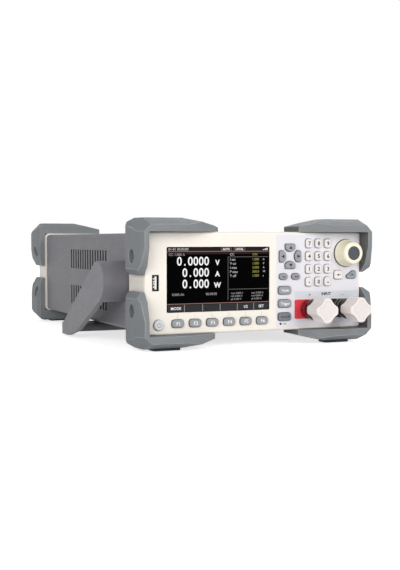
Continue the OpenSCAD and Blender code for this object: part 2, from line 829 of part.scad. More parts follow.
// Insulating base of one terminal: plate, stepped round boss in front and a neck through the panel
module terminal_base(x) {
    at = [x, term_z];
    place() difference() {
        union() {
            along_y(-base_t, 0) translate(at) rounded_rect(base_size[0], base_size[1], screen_r);
            along_y(boss_step - boss_l, -base_t / 2) translate(at) intersection() {
                circle(d = boss_d);
                square([boss_d, base_size[1]], center = true);
            }
            rod_y(at, boss_top_d, -boss_l, -base_t / 2);
            rod_y(at, neck_d, -base_t / 2, front_wall + neck_l);
        }
        rod_y(at, stud_d + 2 * term_gap, -boss_l - over, front_wall + neck_l + over);
    }
}

module terminal_base_positive() {
    color("crimson") terminal_base(term_x[0]);
}

module terminal_base_negative() {
    color("black") terminal_base(term_x[1]);
}

// Studs with a clamping collar in front and a six-sided nut behind
module terminal_studs() {
    nut_y = front_wall + neck_l + nut_t;
    color("darkgoldenrod") place() for (x = term_x) {
        rod_y([x, term_z], stud_d, stud_d / 2 - front_reach, nut_y + stud_tail);
        rod_y([x, term_z], collar_d, -boss_l - collar_l, -boss_l);
        translate([x, nut_y, term_z]) rotate([90, 0, 0]) cylinder(d = nut_d, h = nut_t, $fn = 6);
    }
}

// Four lobes on a circle, with hollow flanks between them
module lobes(d) {
    difference() {
        circle(d = d);
        for (a = [45:90:315]) rotate(a) translate([flank_at * d, 0]) circle(flank_r * d);
    }
}

// Clamping knob: lobed, bevelled, with a sunk face and a blind bore for the stud
module terminal_knob(x) {
    r = lobe_d / 2;
    place() translate([x, -knob_back, term_z]) rotate([90, 0, 0]) difference() {
        intersection() {
            linear_extrude(lobe_l) lobes(lobe_d);
            rotate_extrude() polygon([
                [0, 0], [r - lobe_bevel, 0], [r, lobe_bevel],
                [r, lobe_l - lobe_bevel], [r - lobe_bevel, lobe_l], [0, lobe_l]]);
        }
        translate([0, 0, lobe_l - lobe_sink]) linear_extrude(lobe_sink + over) lobes(lobe_d - 2 * lobe_rim);
        translate([0, 0, -over]) cylinder(d = stud_d + 2 * term_gap, h = lobe_l - stud_d / 2 + 2 * over);
    }
}

module terminal_knob_positive() {
    color("white") terminal_knob(term_x[0]);
}

module terminal_knob_negative() {
    color("white") terminal_knob(term_x[1]);
}

// Folded metal sleeve with two rows of vents in each side
module case_sleeve() {
    y1 = body_d - frame_d;
    color("gray") place() difference() {
        along_y(bezel_d, y1) rounded_rect(case_w, case_h, case_r);
        along_y(bezel_d - over, y1 + over) rounded_rect(inner_w, inner_h, case_r - case_t);
        for (i = [0:vent_count - 1], z = [vent_up_z, vent_low_z])
            along_x(-half_w - over, half_w + over) translate([vent_start + i * vent_pitch, z])
                square([vent_w, vent_h], center = true);
        rod_x(hub_y, 0, pivot_d + 2 * pivot_gap, -half_w - over, half_w + over);
    }
}

// Tray that carries the inside: floor, low walls under the vents and an ear for each pivot post
module chassis_tray() {
    y0 = bezel_d + spigot_l + tray_gap;
    y1 = body_d - frame_d - spigot_l - tray_gap;
    ear_w = pivot_d + 2 * ear_rim;
    wall_x = tray_w / 2 - tray_t;
    color("silver") place() difference() {
        intersection() {
            along_y(y0, y1) rounded_rect(tray_w, inner_h, case_r - case_t);
            union() {
                along_y(y0, y1) translate([-tray_w / 2, tray_z]) square([tray_w, tray_t]);
                both_sides() {
                    along_y(y0, y1) translate([wall_x, tray_z]) square([tray_t, tray_wall]);
                    along_x(wall_x, tray_w / 2) translate([hub_y - ear_w / 2, tray_z])
                        square([ear_w, pivot_d - tray_z]);
                }
            }
        }
        rod_x(hub_y, 0, pivot_d + 2 * pivot_fit, -half_w, half_w);
    }
}

module rear_frame() {
    color("antiquewhite") place() difference() {
        rear_end() end_shell(frame_d, rear_rim, rear_screw_y);
        along_y(rear_y, body_d + over)
            rounded_rect(cavity_w - 2 * rear_lap, cavity_h - 2 * rear_lap, hollow_r);
    }
}

// Rear panel: fan grille of slots cut to a circle, and openings for the sockets
module rear_panel() {
    grille_r = fan_w / 2 - 2 * fan_wall;
    bars = floor(grille_r / grille_pitch);
    inlet_gap = 2 * (inlet_t + socket_gap);
    color("silver") place() difference() {
        along_y(rear_y, rear_y + rear_t)
            rounded_rect(cavity_w - 2 * rear_gap, cavity_h - 2 * rear_gap, hollow_r);
        along_y(rear_y - over, rear_y + rear_t + over) {
            for (i = [-bars:bars]) translate([fan_x + i * grille_pitch, 0])
                square([grille_w, 2 * sqrt(pow(grille_r, 2) - pow(i * grille_pitch, 2))], center = true);
            translate(inlet_at) rounded_rect(inlet_size[0] + inlet_gap, inlet_size[1] + inlet_gap, hollow_r);
            translate(serial_at)
                rounded_rect(serial_size[0] + 2 * socket_gap, serial_size[1] + 2 * socket_gap, hollow_r);
            translate(sense_at)
                square([sense_size[0] + 2 * socket_gap, sense_size[1] + 2 * socket_gap], center = true);
        }
    }
}

// Mains inlet with three blades in its recess
module power_inlet() {
    y1 = rear_y + rear_t;
    floor_y = y1 - inlet_d;
    outer = inlet_size + [2 * inlet_t, 2 * inlet_t];
    blade_z = blade_size[1] / 2;
    color("black") place() translate([inlet_at[0], 0, inlet_at[1]]) {
        difference() {
            union() {
                along_y(y1, y1 + flange_t)
                    rounded_rect(outer[0] + 2 * flange_t, outer[1] + 2 * flange_t, flange_t);
                along_y(floor_y - flange_t, y1 + over) rounded_rect(outer[0], outer[1], hollow_r);
            }
            along_y(floor_y, y1 + flange_t + over) rounded_rect(inlet_size[0], inlet_size[1], hollow_r);
        }
        for (p = [-1:1]) along_y(floor_y - over, y1 - blade_size[1])
            translate([p * blade_pitch / 2, p == 0 ? blade_z : -blade_z]) square(blade_size, center = true);
    }
}

// Rear socket on the main board, reaching out through the rear panel
module rear_socket(at, size, out) {
    along_y(rear_y - socket_d, rear_y + rear_t + out) translate(at) square(size, center = true);
    along_z(main_z + board_t / 2, at[1]) translate([at[0] - size[0] / 2, rear_y - socket_d])
        square([size[0], socket_d - over]);
}

// Main board on pillars, with transformer, capacitors, power transistors and the rear sockets
module main_board() {
    length = rear_y - over - main_y;
    top = main_z + board_t / 2;
    middle = main_x + main_w / 2;
    pillar_pitch = length / 2 - pillar_d;
    color("darkgreen") place() {
        along_z(main_z, main_z + board_t) translate([main_x, main_y]) square([main_w, length]);
        for (x = [main_x + pillar_d, main_x + main_w - pillar_d], row = [0:2])
            translate([x, main_y + pillar_d + row * pillar_pitch, tray_top])
                cylinder(d = pillar_d, h = board_lift + board_t / 2);
        along_z(top, top + transformer_size[2])
            translate([middle - transformer_size[0] / 2, main_y + transformer_size[1] / 2])
                square([transformer_size[0], transformer_size[1]]);
        for (i = [-1:1]) translate([middle + i * main_w / 4, main_y + length / 3, top])
            cylinder(d = capacitor_size[0], h = capacitor_size[1]);
        for (i = [0:3]) along_z(top, top + transistor_size[2])
            translate([main_x, transistor_y + i * transistor_pitch])
                square([transistor_size[0], transistor_size[1]]);
        rear_socket(serial_at, serial_size, flange_t);
        rear_socket(sense_at, sense_size, flange_t);
    }
}

// Extruded heat sink: thick floor and straight fins along the air stream
module heat_sink() {
    fins = floor((sink_size[0] - fin_t) / fin_pitch);
    x0 = fan_x + sink_shift - sink_size[0] / 2;
    y1 = body_d - frame_d - spigot_l - sink_room;
    color("lightgray") place() translate([x0, 0, tray_top]) along_y(y1 - sink_size[2], y1) {
        square([sink_size[0], sink_base]);
        for (i = [0:fins]) translate([i * fin_pitch, 0]) square([fin_t, sink_size[1]]);
    }
}

// Fan housing: square frame, round duct, spokes and the pin that carries the rotor
module fan_frame() {
    duct = fan_w - 2 * fan_wall;
    hole_at = fan_w / 2 - fan_hole_in;
    y0 = rear_y - fan_d;
    color("black") place() translate([fan_x, 0, 0]) {
        difference() {
            along_y(y0, rear_y) rounded_rect(fan_w, fan_w, corner_r);
            rod_y([0, 0], duct, y0 - over, rear_y + over);
            for (x = [-1, 1], z = [-1, 1])
                rod_y([x * hole_at, z * hole_at], fan_hole_d, y0 - over, rear_y + over);
        }
        for (a = [45:90:315]) rotate([0, a, 0]) translate([motor_d / 3, rear_y - spoke_t, -spoke_t / 2])
            cube([duct / 2 + over - motor_d / 3, spoke_t, spoke_t]);
        rod_y([0, 0], motor_d, rear_y - spoke_t, rear_y);
        rod_y([0, 0], pin_d, y0 + pin_d, rear_y - over);
    }
}

// Fan rotor: cup on the pin with pitched blades
module fan_rotor() {
    tip_r = fan_w / 2 - fan_wall - rotor_gap;
    root_r = motor_d / 3;
    y0 = rear_y - fan_d + rotor_gap;
    y1 = rear_y - spoke_t - rotor_gap;
    color("dimgray") place() translate([fan_x, 0, 0]) difference() {
        union() {
            rod_y([0, 0], motor_d, y0, y1);
            intersection() {
                rod_y([0, 0], 2 * tip_r, y0, y1);
                for (i = [0:blade_count - 1]) rotate([0, i * 360 / blade_count, 0])
                    translate([root_r, (y0 + y1) / 2, 0]) rotate([blade_slant, 0, 0])
                        translate([0, -fan_d / 2, -blade_t / 2]) cube([tip_r, fan_d, blade_t]);
            }
        }
        rod_y([0, 0], pin_d + 2 * rotor_fit, y0 + rotor_gap, y1 + over);
    }
}

// One corner bumper, as the common part of four outlines: from the front, from above, from the side
// and across the corner
module bumper(tip_bevel, hole_y) {
    lip_x = half_w + lip_side;
    lip_z = half_h + lip_up;
    full_x = arm_tip + arm_taper;
    reach = side_at + ridge_at;
    lip_corner = (lip_x + lip_z - lip_cut) / sqrt(2);
    ridge_corner = (reach - corner_cut) / sqrt(2);
    back_corner = (reach - corner_cut + corner_flare) / sqrt(2);
    difference() {
        intersection() {
            along_y(-lip_out, bumper_d) polygon([
                [arm_tip, half_h], [arm_tip, half_h + tip_h], [full_x, ridge_at],
                [side_at - ridge_cut[0], ridge_at], [side_at, ridge_at - ridge_cut[1]],
                [side_at, flap_tip + tip_bevel], [half_w + flap_t, flap_tip],
                [half_w, flap_tip], [half_w, half_h]]);
            along_z(0, ridge_at) polygon([
                [arm_tip, 0], [full_x, -lip_out], [lip_x, -lip_out], [side_at, -side_y],
                [side_at, bumper_d - back_cut[1]], [side_at - back_cut[0], bumper_d], [arm_tip, bumper_d]]);
            along_x(0, side_at) polygon([
                [0, flap_tip], [flap_bend[0] - lip_out, flap_tip + flap_bend[1]],
                [-lip_out, flap_tip + flap_rise], [-lip_out, lip_z], [slope_y, ridge_at],
                [bumper_d - back_cut[1], ridge_at], [bumper_d, ridge_at - back_cut[0]],
                [bumper_d, flap_tip]]);
            rotate([0, -45, 0]) along_z(-reach, reach) polygon([
                [0, -lip_out], [lip_corner, -lip_out], [ridge_corner, slope_y],
                [back_corner, bumper_d], [0, bumper_d]]);
        }
        rod_x(hole_y, screw_z, sink_d, half_w + sink_floor, side_at + over);
        rod_x(hole_y, screw_z, screw_d + 2 * screw_gap, half_w - over, side_at);
    }
}

module front_bumpers() {
    color("dimgray") place() both_sides() top_and_bottom() bumper(flap_bevel, screw_y);
}

module rear_bumpers() {
    color("dimgray") place() rear_end() both_sides() top_and_bottom() bumper(rear_bevel, rear_screw_y);
}

// Screw through a bumper: shank, head on the sunk hole's floor and hexagon socket
module bumper_screw(y) {
    head_x = half_w + sink_floor;
    rod_x(y, screw_z, screw_d, half_w - screw_l, head_x + over);
    difference() {
        rod_x(y, screw_z, head_d, head_x, head_x + head_t);
        translate([head_x + head_t / 2, y, screw_z]) rotate([0, 90, 0])
            cylinder(d = hex_d, h = head_t, $fn = 6);
    }
}

module bumper_screws() {
    color("silver") place() both_sides() top_and_bottom() {
        bumper_screw(screw_y);
        rear_end() bumper_screw(rear_screw_y);
    }
}

module rubber_foot() {
    translate([foot_x, foot_y, -ridge_at - foot_t])
        linear_extrude(foot_t) rounded_rect(foot_size[0], foot_size[1], foot_r);
}

module rubber_feet() {
    color("black") place() both_sides() {
        rubber_foot();
        rear_end() rubber_foot();
    }
}

// Arm of the handle as seen from the side: hub, sloping arm and round end
module arm_outline() {
    translate([hub_y, 0]) circle(hub_r);
    polygon([
        [hub_y + hub_r * sin(arm_up_slope), hub_r * cos(arm_up_slope)],
        [hub_y - hub_r * sin(arm_low_slope), -hub_r * cos(arm_low_slope)],
        [grip_y - elbow_in, grip_low + grip_t / 2], [grip_back - toe_w - toe_r, toe_low],
        [grip_back - toe_r, toe_low], [grip_back - toe_r, grip_top],
        [grip_back - toe_w / 2, grip_top + over]]);
    translate([grip_back - toe_w / 2, (grip_top + toe_low) / 2])
        rounded_rect(toe_w, grip_top - toe_low, toe_r);
}

// Swinging U handle: two thin arms on drum hubs and a grip across
module handle() {
    color("gray") place() difference() {
        intersection() {
            union() {
                both_sides() {
                    along_x(arm_in, handle_w / 2) arm_outline();
                    rod_x(hub_y, 0, 2 * hub_r, hub_x, arm_in + over);
                }
                along_x(-handle_w / 2, handle_w / 2)
                    translate([(grip_y + grip_back) / 2, (grip_top + grip_low) / 2])
                        rounded_rect(grip_w, grip_t, grip_r);
            }
            along_z(-handle_w, handle_w) translate([0, grip_back - handle_w])
                rounded_rect(handle_w, 2 * handle_w, handle_r);
        }
        both_sides() rod_x(hub_y, 0, pivot_d + 2 * pivot_fit, hub_x - over, arm_in);
    }
}

// Posts in the tray's walls, on which the handle turns
module handle_pivots() {
    inside = tray_w / 2 - tray_t;
    color("silver") place() both_sides() {
        rod_x(hub_y, 0, pivot_d, inside - over, arm_in - pivot_end);
        rod_x(hub_y, 0, pivot_d + 2 * pivot_flange, inside - pivot_flange / 2, inside);
    }
}

front_bezel();
keypad_overlay();
display_lens();
lcd_module();
front_board();
usb_port();
rotary_encoder();
encoder_shaft();
encoder_knob();
knob_inset();
terminal_base_positive();
terminal_base_negative();
terminal_studs();
terminal_knob_positive();
terminal_knob_negative();
case_sleeve();
chassis_tray();
rear_frame();
rear_panel();
power_inlet();
main_board();
heat_sink();
fan_frame();
fan_rotor();
front_bumpers();
rear_bumpers();
bumper_screws();
rubber_feet();
handle();
handle_pivots();
for (k = KEYS) key(k);
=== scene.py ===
"""Looks of a bench dc electronic load, built around its packed construction."""
import json
from math import cos, pi, radians, sin

import bmesh
import bpy
from mathutils import Matrix, Vector


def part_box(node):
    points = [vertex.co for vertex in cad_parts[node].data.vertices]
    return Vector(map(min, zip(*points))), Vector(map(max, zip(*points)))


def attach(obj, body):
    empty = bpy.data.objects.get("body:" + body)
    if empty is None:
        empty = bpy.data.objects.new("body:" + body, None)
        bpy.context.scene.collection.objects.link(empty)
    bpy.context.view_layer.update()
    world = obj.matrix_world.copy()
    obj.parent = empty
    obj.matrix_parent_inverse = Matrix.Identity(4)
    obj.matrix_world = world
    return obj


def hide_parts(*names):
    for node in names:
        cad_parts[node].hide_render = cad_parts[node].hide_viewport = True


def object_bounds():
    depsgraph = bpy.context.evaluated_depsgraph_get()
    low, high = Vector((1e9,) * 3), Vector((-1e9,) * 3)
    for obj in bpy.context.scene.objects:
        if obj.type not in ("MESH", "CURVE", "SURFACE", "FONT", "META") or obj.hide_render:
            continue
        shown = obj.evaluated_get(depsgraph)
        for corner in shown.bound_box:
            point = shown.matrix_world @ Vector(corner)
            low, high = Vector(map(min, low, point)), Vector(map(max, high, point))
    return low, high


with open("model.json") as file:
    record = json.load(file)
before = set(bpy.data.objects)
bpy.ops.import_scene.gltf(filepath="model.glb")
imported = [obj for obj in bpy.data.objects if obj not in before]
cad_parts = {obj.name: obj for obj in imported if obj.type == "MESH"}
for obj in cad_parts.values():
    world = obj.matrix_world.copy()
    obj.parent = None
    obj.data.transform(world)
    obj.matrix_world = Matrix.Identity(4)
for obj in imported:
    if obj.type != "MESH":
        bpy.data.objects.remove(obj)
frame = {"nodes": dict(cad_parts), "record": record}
CAD_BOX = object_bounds()

bl_info = {
    "name": "Bench Load Looks",
    "version": (1, 0, 0),
    "blender": (4, 5, 0),
    "location": "View3D > Sidebar > Bench Load",
    "description": "Finishes, prints and stage for a bench dc electronic load",
    "category": "Object",
}

MM = 0.001
HOUSING = "housing"
NODES = frame["nodes"]
RECORD = frame["record"]
SLOT_OF = {part["node"]: part["material_slot"] for part in RECORD["subparts"]}
BODY_OF = {
    node: body for body, members in RECORD["behaviour"]["bodies"].items() for node in members
}

PANEL_LOW, PANEL_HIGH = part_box("front_bezel")
PANEL_Y = PANEL_LOW.y
PANEL_Z = (PANEL_LOW.z + PANEL_HIGH.z) / 2
FILM_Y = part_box("keypad_overlay")[0].y
WINDOW_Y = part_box("display_lens")[0].y
REAR_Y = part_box("rear_panel")[1].y
SOCKET_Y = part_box("main_board")[1].y

SOFT_KEYS = {f"key_f{number}": f"F{number}" for number in range(1, 7)}
PALE_WORDS = {"key_mode": "Mode", "key_trigger": "Trigger"}
DARK_WORDS = {"key_confirm": "OK", "key_on_off": "On/Off"}
OVAL_KEYS = {"key_escape": "Esc", "key_shift": "Shift"}
DIGIT_KEYS = {f"key_{digit}": str(digit) for digit in range(10)}
ARROW_KEYS = {"key_up": 0, "key_left": 90, "key_down": 180, "key_right": 270}
CLAMP_KNOBS = ("terminal_knob_positive", "terminal_knob_negative")


def srgb(red, green, blue):
    """Scene-linear colour of display values from 0 to 255."""
    shares = (level / 255 for level in (red, green, blue))
    return tuple(s / 12.92 if s <= 0.04045 else ((s + 0.055) / 1.055) ** 2.4 for s in shares)


def colour(name, description, *levels):
    """A colour property whose default is given in display values."""
    return bpy.props.FloatVectorProperty(
        name=name, description=description, default=srgb(*levels), subtype="COLOR", size=3, min=0, max=1
    )


def length(name, description, millimetres):
    """A length property whose default is given in millimetres."""
    return bpy.props.FloatProperty(
        name=name, description=description, default=millimetres * MM, unit="LENGTH", min=0
    )


def power(name, description, watts):
    """A property for a lamp's power."""
    return bpy.props.FloatProperty(name=name, description=description, default=watts, unit="POWER")


class FinishSettings(bpy.types.PropertyGroup):
    """Colours of the finishes."""

    bezel: colour("Bezel", "Front bezel and rear frame", 243, 236, 226)
    film: colour("Film", "Film round the keys", 228, 226, 232)
    film_band: colour("Film band", "Band above the terminals", 214, 216, 223)
    bumper: colour("Bumper", "Rubber corner bumpers", 127, 131, 134)
    # Paler tint on the bumpers' edges: partly rubbed wear, partly a painted highlight
    bumper_worn: colour("Bumper edge wear and highlight", "Rubbed wear and painted highlight on the bumpers' edges", 168, 171, 172)
    # Darker tint of the bumpers' inner faces: painted shade
    bumper_inner: colour("Bumper inside", "Bumpers' inner faces", 104, 106, 107)
    case: colour("Case", "Coat of the metal case", 114, 113, 118)
    handle: colour("Handle", "Moulded swinging handle", 119, 118, 123)
    key_grey: colour("Grey key", "Function keys", 149, 151, 155)
    key_cream: colour("Cream key", "Number keys", 232, 228, 225)
    key_slate: colour("Slate key", "Key that switches the input", 114, 119, 124)
    key_blue: colour("Blue key", "Confirm key", 143, 154, 160)
    key_power: colour("Power key", "Round power button", 214, 218, 219)
    dial: colour("Dial", "Encoder knob", 245, 238, 214)
    # Dark ring round the encoder knob's foot: a painted shadow
    dial_ring: colour("Dial ring", "Painted shadow round the encoder knob's foot", 78, 74, 70)
    inset: colour("Inset", "Dark inset of the encoder knob", 60, 64, 72)
    plate_red: colour("Red base", "Base of the positive terminal", 219, 55, 70)
    plate_black: colour("Black base", "Base of the negative terminal", 20, 20, 22)
    # Dark red of the positive boss: painted shadow of the clamp knob
    boss_red: colour("Red boss", "Round boss of the positive base, darkened as painted shadow", 138, 12, 26)
    # Pale tints on the bosses' rims: painted highlights
    boss_red_rim: colour("Red boss rim highlight", "Painted highlight on the positive boss's rims", 255, 150, 150)
    boss_black_rim: colour("Black boss rim highlight", "Painted highlight on the negative boss's rims", 200, 196, 188)
    clamp: colour("Clamp knob", "Clamp knobs of the terminals", 240, 233, 229)
    clamp_recess: colour("Clamp recess", "Recess in the clamp knobs", 232, 223, 219)
    ink: colour("Ink", "Dark print on keys and film", 18, 18, 21)
    screen: colour("Screen", "Unlit display", 2, 2, 2)
    floor: colour("Floor", "Studio floor", 244, 244, 244)


class EdgeSettings(bpy.types.PropertyGroup):
    """Radii of the softened edges."""

    bumper: length("Bumper edge", "Radius along the bumpers' edges", 0.45)
    handle: length("Handle edge", "Radius along the handle's edges", 2.6)
    key: length("Key edge", "Radius along the keys' edges", 0.22)
    clamp: length("Clamp edge", "Radius along the clamp knobs' edges", 0.35)
    base: length("Base edge", "Radius along the terminal bases' edges", 0.5)
    foot: length("Foot edge", "Radius along the feet's edges", 0.5)
    inlet: length("Inlet edge", "Radius along the mains inlet's edges", 0.35)


class PrintSettings(bpy.types.PropertyGroup):
    """Heights of the printed signs."""

    digit: length("Digits", "Height of the digits on the number keys", 3.4)
    minus: length("Minus", "Letter height of the minus key's sign", 4.42)
    soft: length("Soft keys", "Height of the signs on the soft keys", 2.97)
    word: length("Words", "Height of the words on the wide keys", 2.1)
    small: length("Small words", "Height of the words on the oval keys", 1.7)
    panel: length("Panel print", "Height of the words on the film", 2.4)
    reading: length("Readings", "Height of the large digits on the display", 7.2)
    ink: length("Ink", "Thickness of the print", 0.04)


class StageSettings(bpy.types.PropertyGroup):
    """Camera and light."""

    eye: bpy.props.FloatVectorProperty(
        name="Eye", description="Place of the camera", default=(-0.38424, -0.90744, 0.09518),
        unit="LENGTH",
    )
    aim: bpy.props.FloatVectorProperty(
        name="Aim", description="Direction of the view", default=(0.40508, 0.91301, -0.04824),
        subtype="DIRECTION",
    )
    lens: bpy.props.FloatProperty(name="Lens", description="Focal length in millimetres", default=59.33)
    key_light: power("Key light", "Front lamp", 18)
    fill_light: power("Fill light", "Side lamp", 16)
    back_light: power("Back light", "Lamp behind the object", 15)
    sky: bpy.props.FloatProperty(
        name="Sky", description="Strength of the even light all round", default=0.34
    )


class LoadSettings(bpy.types.PropertyGroup):
    """All settings of the bench load's looks."""

    finish: bpy.props.PointerProperty(type=FinishSettings)
    edge: bpy.props.PointerProperty(type=EdgeSettings)
    print: bpy.props.PointerProperty(type=PrintSettings)
    stage: bpy.props.PointerProperty(type=StageSettings)


# Finishes. Their names differ from the slots', because the frame's own materials have those.

EDGE_MARK = "edge"
NOISE_LOW, NOISE_HIGH = 0.3, 0.7


def socket(sockets, identifier):
    """The socket with that identifier, where several share a name."""
    return next(s for s in sockets if s.identifier == identifier)


def new_finish(name, tint, roughness, metallic=0.0, specular=0.5):
    """A new material and its shader, with even values on the shader's own sockets."""
    material = bpy.data.materials.new(name)
    material.use_nodes = True
    shader = material.node_tree.nodes["Principled BSDF"]
    shader.inputs["Base Color"].default_value = (*tint, 1)
    shader.inputs["Roughness"].default_value = roughness
    shader.inputs["Metallic"].default_value = metallic
    shader.inputs["Specular IOR Level"].default_value = specular
    return material, shader


def add_node(tree, kind, values=None, links=None):
    """A new shader node with values and links on its inputs."""
    node = tree.nodes.new("ShaderNode" + kind)
    for inlet, value in (values or {}).items():
        node.inputs[inlet].default_value = value
    for inlet, output in (links or {}).items():
        tree.links.new(output, node.inputs[inlet])
    return node


def noise(tree, scale, detail=2.0, stretch=(1, 1, 1)):
    """Noise fixed to the piece, in cycles per metre."""
    place = add_node(tree, "TexCoord").outputs["Object"]
    mapped = add_node(tree, "Mapping", {"Scale": stretch}, {"Vector": place}).outputs["Vector"]
    values = {"Scale": scale, "Detail": detail}
    return add_node(tree, "TexNoise", values, {"Vector": mapped}).outputs["Fac"]


def spread(tree, value, low, high):
    """Noise spread over a range."""
    limits = {"From Min": NOISE_LOW, "From Max": NOISE_HIGH, "To Min": low, "To Max": high}
    return add_node(tree, "MapRange", limits, {"Value": value}).outputs["Result"]


def tones(tree, value, tint, drift):
    """A colour that drifts round its tint."""
    ramp = add_node(tree, "ValToRGB", links={"Fac": value})
    low, high = ramp.color_ramp.elements
    low.position, high.position = NOISE_LOW, NOISE_HIGH
    low.color = (*(c * (1 - drift) for c in tint), 1)
    high.color = (*(min(1, c * (1 + drift)) for c in tint), 1)
    return ramp.outputs["Color"]


def blend_colours(tree, share, first, second):
    """Second colour laid over the first by a share."""
    node = add_node(tree, "Mix")
    node.data_type = "RGBA"
    tree.links.new(share, socket(node.inputs, "Factor_Float"))
    tree.links.new(first, socket(node.inputs, "A_Color"))
    tree.links.new(second, socket(node.inputs, "B_Color"))
    return socket(node.outputs, "Result_Color")


def combine(tree, operation, *values):
    """A math node on outputs and numbers."""
    numbers = {i: value for i, value in enumerate(values) if isinstance(value, float)}
    outputs = {i: value for i, value in enumerate(values) if i not in numbers}
    node = add_node(tree, "Math", numbers, outputs)
    node.operation = operation
    return node.outputs["Value"]


def bump(tree, shader, height, depth, strength):
    """Fine relief from a height, with its depth in millimetres."""
    values = {"Strength": strength, "Distance": depth * MM}
    node = add_node(tree, "Bump", values, {"Height": height})
    tree.links.new(node.outputs["Normal"], shader.inputs["Normal"])


def rub_edges(tree, base, wear_and_highlight, drift):
    """Lay a paler tone in patches over the rounded edges: a painted highlight, and rubbed wear on the
    bumpers.
    """
    highlight_and_wear = tones(tree, noise(tree, 160), wear_and_highlight, drift)
    edge = add_node(tree, "Attribute")
    edge.attribute_name = EDGE_MARK
    cover = spread(tree, noise(tree, 60, 3), 0.15, 0.85)
    patches = combine(tree, "MULTIPLY", edge.outputs["Fac"], cover)
    return blend_colours(tree, patches, base, highlight_and_wear)


def surface(name, tint, roughness, tone, gloss, relief=None, wear_and_highlight=None, **levels):
    """A finish whose tone, gloss and relief each follow a noise, whose values end their tuples.

    Before them stand the tone's drift, the gloss's range, and the relief's depth and strength.
    """
    found = bpy.data.materials.get(name)
    if found:
        return found
    material, shader = new_finish(name, tint, roughness, **levels)
    tree = material.node_tree
    drift, *pattern = tone
    base = tones(tree, noise(tree, *pattern), tint, drift)
    # Paler tone in patches on the rounded edges: a painted highlight, with rubbed wear on the bumpers
    if wear_and_highlight is not None:
        base = rub_edges(tree, base, wear_and_highlight, drift)
    tree.links.new(base, shader.inputs["Base Color"])
    low, high, *pattern = gloss
    tree.links.new(spread(tree, noise(tree, *pattern), low, high), shader.inputs["Roughness"])
    if relief:
        depth, strength, *pattern = relief
        bump(tree, shader, noise(tree, *pattern), depth, strength)
    return material


def moulded(name, tint, roughness, grain, depth, drift=0.03, specular=0.5, wear_and_highlight=None):
    """Moulded plastic or rubber with a grain whose size and depth are given in millimetres."""
    return surface(
        name, tint, roughness, (drift, 35, 3), (roughness - 0.06, roughness + 0.06, 250),
        (depth, 0.4, 1 / (grain * MM)), wear_and_highlight, specular=specular)


def black_moulding():
    """Plain black plastic of sockets, fan and inner pieces."""
    return moulded("black_moulding", srgb(24, 24, 25), 0.5, 0.6, 0.03, drift=0.08)


def ink(name, tint):
    """Screen-printed ink with slightly uneven cover."""
    return moulded(name, tint, 0.5, 0.3, 0.01, drift=0.06, specular=0.35)


def powder_coat(tint):
    """Sprayed powder coat: orange peel over a fine grit."""
    return surface("powder_coat", tint, 0.55, (0.05, 22, 4), (0.48, 0.62, 400), (0.12, 0.35, 1100, 4))


def metal(name, tint, roughness=0.3, stretch=(1, 1, 1)):
    """Bare metal, with drawing or turning marks where the noise is stretched."""
    marks = (900, 3, stretch)
    return surface(
        name, tint, roughness, (0.08, 45, 3), (roughness - 0.1, roughness + 0.1, *marks),
        (0.04, 0.25, *marks), metallic=1.0)


def plated_steel():
    """Nickel-plated steel of shells, posts and screws."""
    return metal("plated_steel", srgb(176, 176, 174), stretch=(1, 1, 0.05))


def lit(name, tint):
    """A lit part of the display's picture, with a faint pixel texture."""
    material, shader = new_finish(name, (0, 0, 0), roughness=0.4, specular=0.1)
    tree = material.node_tree
    glow = tones(tree, noise(tree, 900, 1), tint, drift=0.04)
    tree.links.new(glow, shader.inputs["Emission Color"])
    shader.inputs["Emission Strength"].default_value = 1.0
    return material


def screen_glass(tint):
    """Dark display window with a soft sheen and faint smears."""
    return surface("screen_glass", tint, 0.22, (0.2, 30), (0.16, 0.3, 70, 4), specular=0.01)


def circuit(tint, parts_tint, level):
    """Solder resist up to a height, and the dark cases of components above it."""
    material, shader = new_finish("solder_resist", tint, roughness=0.45)
    tree = material.node_tree
    place = add_node(tree, "TexCoord").outputs["Object"]
    height = add_node(tree, "SeparateXYZ", links={"Vector": place}).outputs["Z"]
    resist = tones(tree, noise(tree, 120, 3), tint, drift=0.25)
    parts = tones(tree, noise(tree, 60), parts_tint, drift=0.3)
    base = blend_colours(tree, combine(tree, "GREATER_THAN", height, level), resist, parts)
    tree.links.new(base, shader.inputs["Base Color"])
    bump(tree, shader, noise(tree, 500, 1), depth=0.2, strength=0.3)
    return material


# Shapes

MERGE = 0.001 * MM
FLAT_BELOW, ROUND_ABOVE, SMOOTH_BELOW = radians(0.4), radians(30), radians(38)
SQUARE_SHARE = 0.9
CAP_HEIGHT = 0.682
FACING_FRONT = Matrix.Rotation(pi / 2, 4, "X")
# Radii and heights of a button head with a round socket, as shares of its own
BUTTON_PROFILE = ((0, 0.3), (0.42, 0.3), (0.42, 1), (0.7, 1), (0.93, 0.7), (1, 0.3), (1, 0))


def merged_copy(node):
    """A copy of a node's mesh with its loose triangles joined and its flat faces whole."""
    bm = bmesh.new()
    bm.from_mesh(NODES[node].data)
    bmesh.ops.remove_doubles(bm, verts=bm.verts, dist=MERGE)
    bmesh.ops.dissolve_limit(bm, angle_limit=FLAT_BELOW, verts=bm.verts, edges=bm.edges)
    return bm


def soften(bm, radius, segments=3):
    """Round every edge that turns sharply, and mark the rounded faces."""
    mark = bm.faces.layers.float.new(EDGE_MARK)
    turned = [e for e in bm.edges if e.is_manifold and e.calc_face_angle() > ROUND_ABOVE]
    rounded = bmesh.ops.bevel(
        bm, geom=turned, offset=radius, offset_type="OFFSET", affect="EDGES", segments=segments,
        profile=0.5, clamp_overlap=True, material=-1,
    )
    for face in rounded["faces"]:
        face[mark] = 1.0


